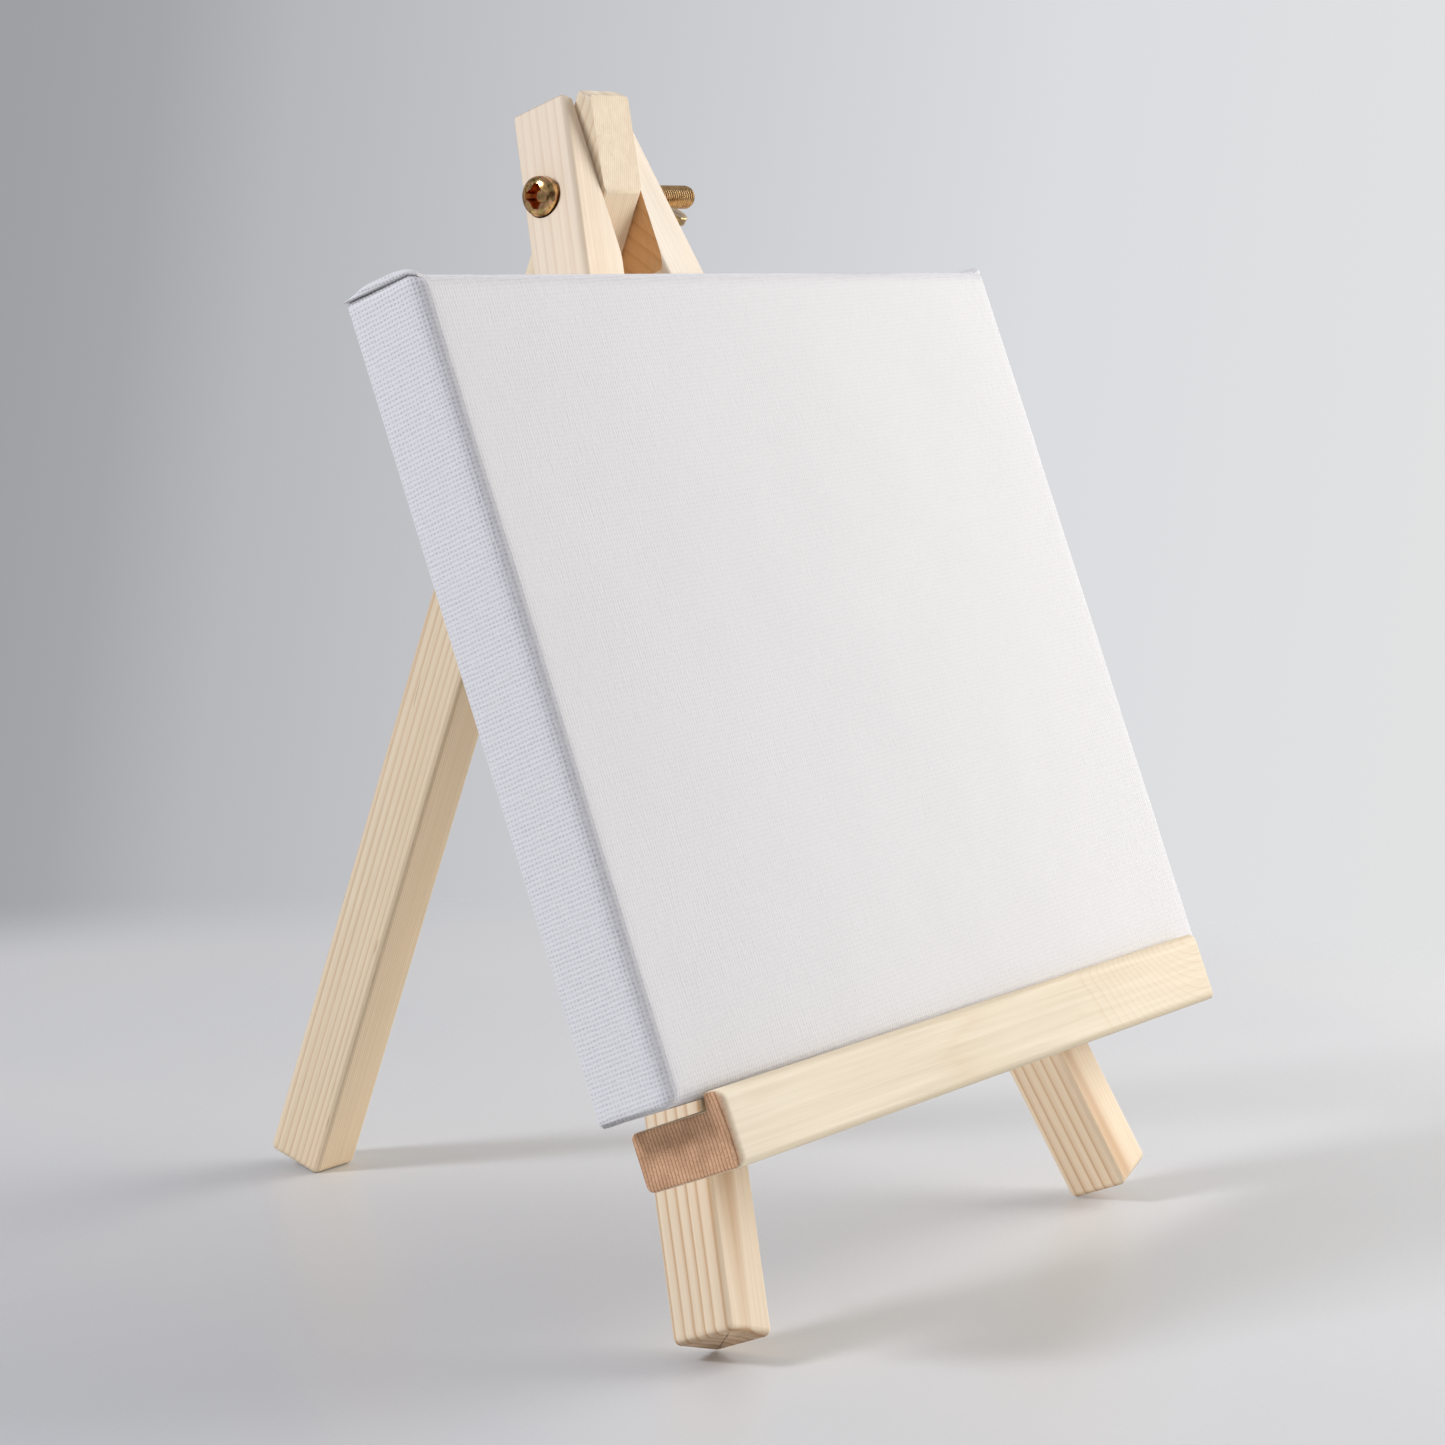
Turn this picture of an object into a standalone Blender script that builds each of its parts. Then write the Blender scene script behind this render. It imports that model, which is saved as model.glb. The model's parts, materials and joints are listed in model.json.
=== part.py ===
"""Small folding display easel in pine, with a stretched canvas standing on its ledge.

Two splayed front legs lie in one leaning plane and carry the ledge. A rear leg swings between
their tops on a long bolt, clamped by a wing nut. Metres, +Z up, the canvas faces -Y. The origin
is on the floor, at the centre of the easel's plan.
"""

import math

import bmesh
import bpy
from mathutils import Matrix, Vector

MM = 0.001

# Angles of the three legs.
FRAME_LEAN = math.radians(22.0)      # the front legs' plane, back from upright
FRONT_SPLAY = math.radians(17.0)     # each front leg, out from the centre line in that plane
REAR_LEAN = math.radians(19.0)       # the rear leg, forward from upright
REAR_TOP_BEVEL = math.radians(30.0)  # saw cut on the rear leg's top, from its own front face

# Leg stock.
STOCK = 13.0 * MM
ARRIS = 0.7 * MM
FRONT_LEG_LENGTH = 242.0 * MM
FRONT_FOOT_OUT = 80.2 * MM           # outer corner of a front foot, from the centre line
REAR_LEG_ABOVE_PIVOT = 20.0 * MM
REAR_BEVEL_START = 3.4 * MM          # above the pivot, along the rear leg
GAP = 0.3 * MM                       # between pieces that touch
LEG_SIDE_GAP = 0.4 * MM              # beside the rear leg, where it swings

# Pivot bolt, M5 x 50, and its wing nut.
PIVOT_UP = 222.0 * MM                # from the floor line, along the leaning plane
PIVOT_BACK = 7.8 * MM                # behind the legs' front faces
BOLT_R = 2.35 * MM
BOLT_LENGTH = 50.5 * MM
HEAD_R = 3.9 * MM
HEAD_FLANK = 2.3 * MM
HEAD_HEIGHT = 3.4 * MM
HEAD_SEAT = 14.5 * MM                # underside of the head, from the centre plane
RECESS_SPAN = 4.8 * MM
RECESS_WIDTH = 1.2 * MM
RECESS_DEPTH = 2.0 * MM
LEG_BORE_R = 2.7 * MM
PIVOT_BORE_R = 2.5 * MM
WASHER_R = 5.0 * MM
WASHER_THICK = 1.0 * MM
WASHER_SEAT = 14.6 * MM
NUT_BASE_R = 4.6 * MM
NUT_TOP_R = 3.8 * MM
NUT_HEIGHT = 5.5 * MM
WING_SPAN = 22.0 * MM
WING_THICK = 1.8 * MM
WING_TURN = math.radians(-61.0)

# Ledge, a bar with a rebate for the canvas.
LEDGE_LENGTH = 184.0 * MM
LEDGE_BOTTOM = 35.4 * MM
LEDGE_BACK_HEIGHT = 10.9 * MM
LEDGE_FRONT_HEIGHT = 14.0 * MM
LIP_THICK = 3.7 * MM
LIP_TOP_RADIUS = 2.0 * MM
LEDGE_EDGE_RADIUS = 0.8 * MM
SCREW_HEAD_R = 3.4 * MM
SCREW_HEAD_HEIGHT = 2.2 * MM
SCREW_SHANK_R = 1.6 * MM
SCREW_LENGTH = 23.0 * MM
SCREW_POINT = 4.0 * MM

# Canvas: cloth stretched over four mitred bars and stapled behind.
CANVAS_WIDTH = 200.0 * MM
CANVAS_HEIGHT = 150.0 * MM
CANVAS_DEPTH = 16.6 * MM
CANVAS_PLAY = 0.4 * MM               # between the canvas and the ledge's lip
CANVAS_ASKEW = math.radians(-0.6)    # it stands in the groove with its left end raised
CANVAS_OFF_CENTRE = 0.8 * MM
CLOTH = 0.6 * MM
CLOTH_ROUND = 1.2 * MM
FOLD_THICK = 0.55 * MM               # folded corners, on the top side
FOLD_LENGTH = 18.0 * MM
FLAP = 15.0 * MM                     # cloth turned over the bars' backs
BAR_WIDTH = 18.0 * MM
BAR_RIM = 4.0 * MM                   # width of the bar's face that the cloth touches
BAR_FALL = 1.5 * MM                  # fall of the bar's face from the rim inwards
STAPLE_CROWN = 10.0 * MM
STAPLE_WIRE = 0.55 * MM
STAPLE_WIDE = 0.9 * MM
STAPLE_LEG = 5.5 * MM
STAPLES_LONG = 4
STAPLES_SHORT = 3

ARC_STEPS = 4
ROUND = 32

LEDGE_FLOOR = LEDGE_BOTTOM + LEDGE_BACK_HEIGHT
REBATE = CANVAS_DEPTH + CANVAS_PLAY
LEDGE_DEPTH = REBATE + LIP_THICK
CANVAS_BOTTOM = LEDGE_FLOOR + GAP - LEDGE_LENGTH / 2.0 * math.sin(CANVAS_ASKEW)
BAR_DEPTH = CANVAS_DEPTH - 2.0 * (CLOTH + GAP)
BAR_INSET = CLOTH + GAP


# ---------------------------------------------------------------- places

def leaning_axes(lean):
    """Axes of a board leaning back by `lean`: X across, Y up along it, Z out of its front."""
    return Matrix.Rotation(math.pi / 2.0 - lean, 4, "X")


def section_points(x_low, x_high, z_low, z_high, radius, steps=ARC_STEPS):
    """Outline of a bar's end in X and Z, with its four arrises eased."""
    corners = (
        (x_high - radius, z_high - radius, 0.0),
        (x_low + radius, z_high - radius, 90.0),
        (x_low + radius, z_low + radius, 180.0),
        (x_high - radius, z_low + radius, 270.0),
    )
    points = []
    for x, z, start in corners:
        for step in range(steps + 1):
            turn = math.radians(start + 90.0 * step / steps)
            points.append((x + radius * math.cos(turn), z + radius * math.sin(turn)))
    return points


FRAME_AXES = leaning_axes(FRAME_LEAN)
REAR_AXES = leaning_axes(-REAR_LEAN)
LEFT, RIGHT = -1, 1


def front_section(side):
    """A front leg's end outline. X runs from the outer face at 0 towards the centre."""
    inner = -side * STOCK
    return section_points(min(0.0, inner), max(0.0, inner), -STOCK, 0.0, ARRIS)


def front_turn(side):
    return Matrix.Rotation(side * FRONT_SPLAY, 4, "Z")


def front_foot_up():
    """How far up the plane a front leg starts, so that its lowest corner meets the floor."""
    turn = FRAME_AXES @ front_turn(LEFT)
    lowest = min((turn @ Vector((x, 0.0, z))).z for x, z in front_section(LEFT))
    return -lowest / math.cos(FRAME_LEAN)


FRONT_FOOT_UP = front_foot_up()
PIVOT_IN_FRAME = FRAME_AXES @ Vector((0.0, PIVOT_UP, -PIVOT_BACK))
REAR_SECTION = section_points(
    -STOCK / 2.0, STOCK / 2.0, PIVOT_BACK - STOCK, PIVOT_BACK, ARRIS
)


def rear_leg_below_pivot():
    """Length of the rear leg from the pivot to its foot, whose front edge meets the floor."""
    lowest = min((REAR_AXES @ Vector((x, 0.0, z))).z for x, z in REAR_SECTION)
    return (PIVOT_IN_FRAME.z + lowest) / math.cos(REAR_LEAN)


REAR_LEG_BELOW = rear_leg_below_pivot()


def plan_centre_y():
    """Middle of the easel's plan, between the ledge's lower front edge and the rear foot."""
    ledge_front = min(
        (FRAME_AXES @ Vector((0.0, y, z))).y
        for z, y in ledge_outline()
    )
    foot_back = max(
        (REAR_AXES @ Vector((x, -REAR_LEG_BELOW, z))).y for x, z in REAR_SECTION
    )
    return (ledge_front + PIVOT_IN_FRAME.y + foot_back) / 2.0


def ledge_outline():
    """The ledge's end outline as (out from the legs, up), its outer edges eased."""
    back, front = GAP, GAP + LEDGE_DEPTH
    bottom = LEDGE_BOTTOM
    top = LEDGE_BOTTOM + LEDGE_FRONT_HEIGHT
    lip_back = front - LIP_THICK
    corners = (
        (back + LEDGE_EDGE_RADIUS, bottom + LEDGE_EDGE_RADIUS, 180.0, LEDGE_EDGE_RADIUS),
        (front - LEDGE_EDGE_RADIUS, bottom + LEDGE_EDGE_RADIUS, 270.0, LEDGE_EDGE_RADIUS),
        (front - LIP_TOP_RADIUS, top - LIP_TOP_RADIUS, 0.0, LIP_TOP_RADIUS),
    )
    points = []
    for out, up, start, radius in corners:
        for step in range(ARC_STEPS + 1):
            turn = math.radians(start + 90.0 * step / ARC_STEPS)
            points.append((out + radius * math.cos(turn), up + radius * math.sin(turn)))
    points.append((lip_back, top))
    points.append((lip_back, LEDGE_FLOOR))
    points.append((back, LEDGE_FLOOR))
    return points


PLAN_CENTRE_Y = plan_centre_y()
PIVOT = PIVOT_IN_FRAME - Vector((0.0, PLAN_CENTRE_Y, 0.0))


# ---------------------------------------------------------------- makers

def clear_scene():
    for obj in list(bpy.data.objects):
        bpy.data.objects.remove(obj, do_unlink=True)


def make_material(name, color, roughness, metallic=0.0):
    material = bpy.data.materials.new(name)
    material.use_nodes = True
    shader = material.node_tree.nodes["Principled BSDF"]
    shader.inputs["Base Color"].default_value = (*color, 1.0)
    shader.inputs["Roughness"].default_value = roughness
    shader.inputs["Metallic"].default_value = metallic
    return material


def make_object(name, bm, material=None, smooth=False):
    bmesh.ops.recalc_face_normals(bm, faces=bm.faces)
    mesh = bpy.data.meshes.new(name)
    bm.to_mesh(mesh)
    bm.free()
    if smooth:
        mesh.shade_smooth()
        mesh.set_sharp_from_angle(angle=math.radians(35.0))
    if material:
        mesh.materials.append(material)
    obj = bpy.data.objects.new(name, mesh)
    bpy.context.collection.objects.link(obj)
    return obj


def make_empty(name, matrix):
    empty = bpy.data.objects.new(name, None)
    empty.matrix_world = matrix
    bpy.context.collection.objects.link(empty)
    return empty


def place(obj, parent=None, at=(0.0, 0.0, 0.0), turn=(0.0, 0.0, 0.0), order="XYZ"):
    obj.parent = parent
    obj.location = at
    obj.rotation_mode = order
    obj.rotation_euler = turn
    return obj


def as_cutter(obj):
    obj.hide_render = True
    obj.display_type = "WIRE"
    return obj


def combine(obj, other, operation="DIFFERENCE"):
    modifier = obj.modifiers.new(other.name, "BOOLEAN")
    modifier.operation = operation
    modifier.solver = "EXACT"
    modifier.object = other


def extruded(points, vector):
    """Closed solid from a flat outline of 3-D points, extruded along a vector."""
    bm = bmesh.new()
    near = [bm.verts.new(point) for point in points]
    far = [bm.verts.new(Vector(point) + Vector(vector)) for point in points]
    bm.faces.new(near)
    bm.faces.new(reversed(far))
    count = len(points)
    for index in range(count):
        after = (index + 1) % count
        bm.faces.new((near[index], near[after], far[after], far[index]))
    return bm


def block(low, high):
    x0, y0, z0 = low
    x1, y1, z1 = high
    outline = ((x0, y0, z0), (x1, y0, z0), (x1, y1, z0), (x0, y1, z0))
    return extruded(outline, (0.0, 0.0, z1 - z0))


def turned(profile, segments=ROUND):
    """Solid turned about Z. The profile lists (radius, z), starting and ending on the axis."""
    bm = bmesh.new()
    rings = []
    for radius, z in profile:
        if radius == 0.0:
            rings.append([bm.verts.new((0.0, 0.0, z))])
            continue
        ring = []
        for index in range(segments):
            turn = 2.0 * math.pi * index / segments
            ring.append(bm.verts.new((radius * math.cos(turn), radius * math.sin(turn), z)))
        rings.append(ring)
    for low, high in zip(rings, rings[1:]):
        for index in range(segments):
            after = (index + 1) % segments
            corners = [low[index % len(low)], low[after % len(low)]]
            corners += [high[after % len(high)], high[index % len(high)]]
            bm.faces.new(list(dict.fromkeys(corners)))
    return bm


def cut_off(bm, point, normal):
    """Saw off everything on the normal's side of a plane and close the cut."""
    geometry = bm.verts[:] + bm.edges[:] + bm.faces[:]
    result = bmesh.ops.bisect_plane(
        bm, geom=geometry, plane_co=point, plane_no=normal, clear_outer=True, dist=1e-7
    )
    rim = [item for item in result["geom_cut"] if isinstance(item, bmesh.types.BMEdge)]
    bmesh.ops.edgenet_fill(bm, edges=rim)


def dome(radius, base, height, steps=ARC_STEPS):
    """Profile points of a shallow dome, from its rim in to the axis."""
    points = []
    for step in range(steps + 1):
        turn = math.pi / 2.0 * step / steps
        reach = radius * math.cos(turn) if step < steps else 0.0
        points.append((reach, base + height * math.sin(turn)))
    return points


# ---------------------------------------------------------------- easel

def make_front_leg(name, side, frame, pine):
    """Front leg, square cut at both ends, its inner side sawn upright to clear the rear leg."""
    outline = [(x, 0.0, z) for x, z in front_section(side)]
    bm = extruded(outline, (0.0, FRONT_LEG_LENGTH, 0.0))
    spot = Vector((side * FRONT_FOOT_OUT, FRONT_FOOT_UP, 0.0))
    to_leg = (Matrix.Translation(spot) @ front_turn(side)).inverted()
    sawn = side * (STOCK / 2.0 + LEG_SIDE_GAP)
    cut_off(bm, to_leg @ Vector((sawn, PIVOT_UP, 0.0)), to_leg.to_3x3() @ Vector((-side, 0, 0)))
    leg = make_object(name, bm, pine, smooth=True)
    return place(leg, frame, spot, (0.0, 0.0, side * FRONT_SPLAY))


def make_rear_leg(pivot, pine):
    """Rear leg, its origin on the bolt's axis and its top bevelled at the front."""
    outline = [(x, -REAR_LEG_BELOW, z) for x, z in REAR_SECTION]
    bm = extruded(outline, (0.0, REAR_LEG_BELOW + REAR_LEG_ABOVE_PIVOT, 0.0))
    normal = Vector((0.0, math.sin(REAR_TOP_BEVEL), math.cos(REAR_TOP_BEVEL)))
    cut_off(bm, Vector((0.0, REAR_BEVEL_START, PIVOT_BACK)), normal)
    return place(make_object("rear_leg", bm, pine, smooth=True), pivot)


def make_ledge(frame, pine):
    outline = [(-LEDGE_LENGTH / 2.0, up, out) for out, up in ledge_outline()]
    bm = extruded(outline, (LEDGE_LENGTH, 0.0, 0.0))
    return place(make_object("ledge", bm, pine, smooth=True), frame)


def ledge_screw_spot(side):
    """Where a screw crosses the middle of a front leg at the ledge's height."""
    up = LEDGE_BOTTOM + LEDGE_BACK_HEIGHT / 2.0
    outer = FRONT_FOOT_OUT - (up - FRONT_FOOT_UP) * math.tan(FRONT_SPLAY)
    across = outer - STOCK / 2.0 / math.cos(FRONT_SPLAY)
    return Vector((side * across, up, -STOCK - GAP))


def make_ledge_screw(name, side, frame, steel):
    """Round-head wood screw, driven from behind the leg into the ledge."""
    profile = [(radius, -z) for radius, z in reversed(dome(SCREW_HEAD_R, 0.0, SCREW_HEAD_HEIGHT))]
    profile.append((SCREW_SHANK_R, 0.0))
    profile.append((SCREW_SHANK_R, SCREW_LENGTH - SCREW_POINT))
    profile.append((0.0, SCREW_LENGTH))
    screw = make_object(name, turned(profile, 16), steel, smooth=True)
    return place(screw, frame, ledge_screw_spot(side))


def make_screw_hole(name, side, frame):
    radius = SCREW_SHANK_R + GAP
    end = SCREW_LENGTH + GAP
    profile = [(0.0, -GAP), (radius, -GAP), (radius, end), (0.0, end)]
    hole = make_object(name, turned(profile, 16))
    return as_cutter(place(hole, frame, ledge_screw_spot(side)))


def along_bolt(obj, x, turn=0.0):
    """Lay a turned piece on the pivot's axis, its own Z towards +X, starting at x."""
    at = (x, PIVOT.y, PIVOT.z)
    return place(obj, None, at, (0.0, math.pi / 2.0, turn), "ZYX")


def make_bolt_hole(name, profile, x):
    return as_cutter(along_bolt(make_object(name, turned(profile)), x))


def make_leg_holes():
    """Cutters: a clearance bore with a sunk seat in each front leg, a running bore in the rear."""
    reach = 40.0 * MM
    head_pocket = HEAD_R + GAP
    left = [(0.0, -reach), (head_pocket, -reach), (head_pocket, GAP), (LEG_BORE_R, GAP)]
    left += [(LEG_BORE_R, HEAD_SEAT), (0.0, HEAD_SEAT)]
    washer_pocket = WASHER_R + GAP
    right = [(0.0, -WASHER_SEAT), (LEG_BORE_R, -WASHER_SEAT), (LEG_BORE_R, -GAP)]
    right += [(washer_pocket, -GAP), (washer_pocket, reach), (0.0, reach)]
    rear = [(0.0, -STOCK), (PIVOT_BORE_R, -STOCK), (PIVOT_BORE_R, STOCK), (0.0, STOCK)]
    return (
        make_bolt_hole("left_leg_bore", left, -HEAD_SEAT),
        make_bolt_hole("right_leg_bore", right, WASHER_SEAT),
        make_bolt_hole("rear_leg_bore", rear, 0.0),
    )


def make_pivot_bolt(steel):
    """Pan-head bolt with a cross recess and a rounded end. Z = 0 is the head's underside."""
    top = dome(HEAD_R, HEAD_FLANK, HEAD_HEIGHT - HEAD_FLANK)
    profile = [(radius, -z) for radius, z in reversed(top)]
    profile += [(HEAD_R, 0.0), (BOLT_R, 0.0)]
    tip = 1.2 * MM
    profile += dome(BOLT_R, BOLT_LENGTH - tip, tip)
    bolt = make_object("pivot_bolt", turned(profile), steel, smooth=True)
    along_bolt(bolt, -HEAD_SEAT)
    half_span, half_width = RECESS_SPAN / 2.0, RECESS_WIDTH / 2.0
    low = -HEAD_HEIGHT - GAP
    high = -HEAD_HEIGHT + RECESS_DEPTH
    outline = []
    for quarter in range(4):
        turn = Matrix.Rotation(quarter * math.pi / 2.0, 3, "Z")
        for x, y in ((half_span, -half_width), (half_span, half_width), (half_width, half_width)):
            outline.append(turn @ Vector((x, y, low)))
    cross = extruded(outline, (0.0, 0.0, high - low))
    recess = as_cutter(along_bolt(make_object("bolt_recess", cross), -HEAD_SEAT))
    combine(bolt, recess)
    return bolt


def make_washer(steel):
    bm = bmesh.new()
    inner = BOLT_R + GAP
    profile = ((inner, 0.0), (WASHER_R, 0.0), (WASHER_R, WASHER_THICK), (inner, WASHER_THICK))
    rings = []
    for index in range(ROUND):
        turn = 2.0 * math.pi * index / ROUND
        spot = Vector((math.cos(turn), math.sin(turn), 0.0))
        rings.append([bm.verts.new(spot * radius + Vector((0, 0, z))) for radius, z in profile])
    for index, ring in enumerate(rings):
        after = rings[(index + 1) % ROUND]
        for corner in range(4):
            beside = (corner + 1) % 4
            bm.faces.new((ring[corner], ring[beside], after[beside], after[corner]))
    return along_bolt(make_object("nut_washer", bm, steel, smooth=True), WASHER_SEAT)


def wing_outline():
    """Both wings in one plate: flared ears with round tips, joined across the hub."""
    tip_r = 3.0 * MM
    ear_top = 8.4 * MM
    reach = WING_SPAN / 2.0
    centre = Vector((reach - tip_r, ear_top - tip_r))
    half = [(2.6 * MM, 0.6 * MM), (4.4 * MM, 0.6 * MM), (7.0 * MM, 3.2 * MM)]
    for step in range(9):
        turn = math.radians(-40.0 + 190.0 * step / 8)
        half.append((centre.x + tip_r * math.cos(turn), centre.y + tip_r * math.sin(turn)))
    half.append((4.0 * MM, 4.8 * MM))
    half.append((2.6 * MM, 4.6 * MM))
    return half + [(-x, z) for x, z in reversed(half)]


def make_wing_nut(steel):
    base_x = WASHER_SEAT + WASHER_THICK + GAP
    hub = [(0.0, 0.0), (NUT_BASE_R, 0.0), (NUT_BASE_R, 1.2 * MM)]
    hub += [(NUT_TOP_R, NUT_HEIGHT), (0.0, NUT_HEIGHT)]
    nut = make_object("wing_nut", turned(hub), steel, smooth=True)
    along_bolt(nut, base_x, WING_TURN)
    outline = [(x, -WING_THICK / 2.0, z) for x, z in wing_outline()]
    wings = make_object("wing_plate", extruded(outline, (0.0, WING_THICK, 0.0)))
    as_cutter(along_bolt(wings, base_x, WING_TURN))
    combine(nut, wings, "UNION")
    reach = 15.0 * MM
    bore = [(0.0, -reach), (PIVOT_BORE_R, -reach), (PIVOT_BORE_R, reach), (0.0, reach)]
    combine(nut, make_bolt_hole("nut_bore", bore, base_x))
    return nut


# ---------------------------------------------------------------- canvas

def staple_spots():
    """Staples behind the bars as (name, x, y, turn) from the canvas's centre."""
    inset = BAR_INSET + 7.0 * MM
    sides = (
        ("top", CANVAS_WIDTH, CANVAS_HEIGHT / 2.0 - inset, 0.0, STAPLES_LONG),
        ("bottom", CANVAS_WIDTH, CANVAS_HEIGHT / 2.0 - inset, math.pi, STAPLES_LONG),
        ("left", CANVAS_HEIGHT, CANVAS_WIDTH / 2.0 - inset, math.pi / 2.0, STAPLES_SHORT),
        ("right", CANVAS_HEIGHT, CANVAS_WIDTH / 2.0 - inset, -math.pi / 2.0, STAPLES_SHORT),
    )
    spots = []
    for side, length, reach, turn, count in sides:
        pitch = (length - 2.0 * BAR_WIDTH) / count
        for index in range(count):
            along = (index - (count - 1) / 2.0) * pitch
            spot = Matrix.Rotation(turn, 3, "Z") @ Vector((along, reach, 0.0))
            spots.append((f"staple_{side}_{index + 1}", spot.x, spot.y, turn))
    return spots


def make_staple(name, x, y, turn, canvas, steel):
    """U-shaped staple: the crown lies in the cloth, the legs go into the bar."""
    half, wide = STAPLE_CROWN / 2.0, STAPLE_WIDE
    crown_low = 0.05 * MM
    crown_high = crown_low + STAPLE_WIRE
    points = [(-half, crown_low), (half, crown_low), (half, crown_high + STAPLE_LEG)]
    points += [(half - STAPLE_WIRE, crown_high + STAPLE_LEG), (half - STAPLE_WIRE, crown_high)]
    points += [(-half + STAPLE_WIRE, crown_high), (-half + STAPLE_WIRE, crown_high + STAPLE_LEG)]
    points.append((-half, crown_high + STAPLE_LEG))
    outline = [(a, -wide / 2.0, b) for a, b in points]
    staple = make_object(name, extruded(outline, (0.0, wide, 0.0)), steel)
    return place(staple, canvas, (x, y, 0.0), (0.0, 0.0, turn))


def add_box(bm, centre, turn, size, low, high):
    """Add one box to a cutter's mesh, turned about Z, from z = low to z = high."""
    spin = Matrix.Rotation(turn, 3, "Z")
    corners = []
    for sx, sy in ((-1, -1), (1, -1), (1, 1), (-1, 1)):
        flat = spin @ Vector((sx * size[0] / 2.0, sy * size[1] / 2.0, 0.0))
        corners.append(Vector(centre) + flat)
    near = [bm.verts.new((c.x, c.y, low)) for c in corners]
    far = [bm.verts.new((c.x, c.y, high)) for c in corners]
    bm.faces.new(reversed(near))
    bm.faces.new(far)
    for index in range(4):
        after = (index + 1) % 4
        bm.faces.new((near[index], near[after], far[after], far[index]))


def make_staple_cutters(canvas):
    """Slots in the cloth for the crowns, and pairs of holes in the bars for the legs."""
    slots, holes = bmesh.new(), bmesh.new()
    slot_size = (STAPLE_CROWN + 2.0 * GAP, STAPLE_WIDE + 2.0 * GAP)
    hole_size = (STAPLE_WIRE + 2.0 * GAP, STAPLE_WIDE + 2.0 * GAP)
    leg_out = (STAPLE_CROWN - STAPLE_WIRE) / 2.0
    deep = STAPLE_LEG + STAPLE_WIRE + 2.0 * GAP
    for _, x, y, turn in staple_spots():
        add_box(slots, (x, y, 0.0), turn, slot_size, -GAP, CLOTH + GAP / 2.0)
        for side in (-1, 1):
            shift = Matrix.Rotation(turn, 3, "Z") @ Vector((side * leg_out, 0.0, 0.0))
            add_box(holes, (x + shift.x, y + shift.y, 0.0), turn, hole_size, 0.0, deep)
    slot_cutter = place(make_object("staple_slots", slots), canvas)
    hole_cutter = place(make_object("staple_holes", holes), canvas)
    return as_cutter(slot_cutter), as_cutter(hole_cutter)


def make_canvas_cloth(canvas, slots, cotton):
    """Cloth round the bars: front, four sides and the flaps behind, with thick folded corners."""
    half_w, half_h = CANVAS_WIDTH / 2.0, CANVAS_HEIGHT / 2.0
    section = section_points(-half_w, half_w, -half_h, half_h, CLOTH_ROUND, 3)
    bm = extruded([(x, y, 0.0) for x, y in section], (0.0, 0.0, CANVAS_DEPTH))
    front = [e for e in bm.edges if all(v.co.z > CANVAS_DEPTH - GAP for v in e.verts)]
    bmesh.ops.bevel(
        bm, geom=front, offset=CLOTH_ROUND * 0.98, segments=3, affect="EDGES", profile=0.5
    )
    cloth = place(make_object("canvas_cloth", bm, cotton, smooth=True), canvas)
    for name, side in (("fold_left", LEFT), ("fold_right", RIGHT)):
        ends = sorted((side * (half_w - CLOTH_ROUND), side * (half_w - FOLD_LENGTH)))
        low = (ends[0], half_h - CLOTH / 2.0, 0.0)
        high = (ends[1], half_h + FOLD_THICK, CANVAS_DEPTH - CLOTH_ROUND)
        fold = place(make_object(name, block(low, high)), canvas)
        combine(cloth, as_cutter(fold), "UNION")
    inside = block(
        (-half_w + CLOTH, -half_h + CLOTH, CLOTH),
        (half_w - CLOTH, half_h - CLOTH, CANVAS_DEPTH - CLOTH),
    )
    combine(cloth, as_cutter(place(make_object("cloth_inside", inside), canvas)))
    window = block(
        (-half_w + FLAP, -half_h + FLAP, -CLOTH),
        (half_w - FLAP, half_h - FLAP, 2.0 * CLOTH),
    )
    combine(cloth, as_cutter(place(make_object("cloth_window", window), canvas)))
    combine(cloth, slots)
    return cloth


def make_bar(name, length, at, turn, canvas, holes, pine):
    """Stretcher bar with mitred ends. X runs along it, Y from its outer edge inwards."""
    rim_z = BAR_DEPTH
    section = (
        (0.0, 0.0), (BAR_WIDTH, 0.0), (BAR_WIDTH, rim_z - BAR_FALL), (BAR_RIM, rim_z), (0.0, rim_z),
    )
    mitre_gap = GAP / math.sqrt(2.0)
    bm = bmesh.new()
    near, far = [], []
    for y, z in section:
        half = length / 2.0 - y - mitre_gap
        near.append(bm.verts.new((-half, y, z)))
        far.append(bm.verts.new((half, y, z)))
    bm.faces.new(near)
    bm.faces.new(reversed(far))
    for index in range(len(section)):
        after = (index + 1) % len(section)
        bm.faces.new((near[index], near[after], far[after], far[index]))
    bar = place(make_object(name, bm, pine), canvas, (*at, CLOTH + GAP), (0.0, 0.0, turn))
    combine(bar, holes)
    return bar


def make_canvas(frame, pine, cotton, steel):
    spot = Matrix.Translation((CANVAS_OFF_CENTRE, CANVAS_BOTTOM + CANVAS_HEIGHT / 2.0, GAP))
    askew = Matrix.Rotation(CANVAS_ASKEW, 4, "Z")
    canvas = make_empty("canvas_place", frame.matrix_world @ spot @ askew)
    slots, holes = make_staple_cutters(canvas)
    make_canvas_cloth(canvas, slots, cotton)
    side_x = CANVAS_WIDTH / 2.0 - BAR_INSET
    side_y = CANVAS_HEIGHT / 2.0 - BAR_INSET
    bars = (
        ("top_bar", 2.0 * side_x, (0.0, side_y), math.pi),
        ("bottom_bar", 2.0 * side_x, (0.0, -side_y), 0.0),
        ("left_bar", 2.0 * side_y, (-side_x, 0.0), -math.pi / 2.0),
        ("right_bar", 2.0 * side_y, (side_x, 0.0), math.pi / 2.0),
    )
    for name, length, at, turn in bars:
        make_bar(name, length, at, turn, canvas, holes, pine)
    for name, x, y, turn in staple_spots():
        make_staple(name, x, y, turn, canvas, steel)


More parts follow.
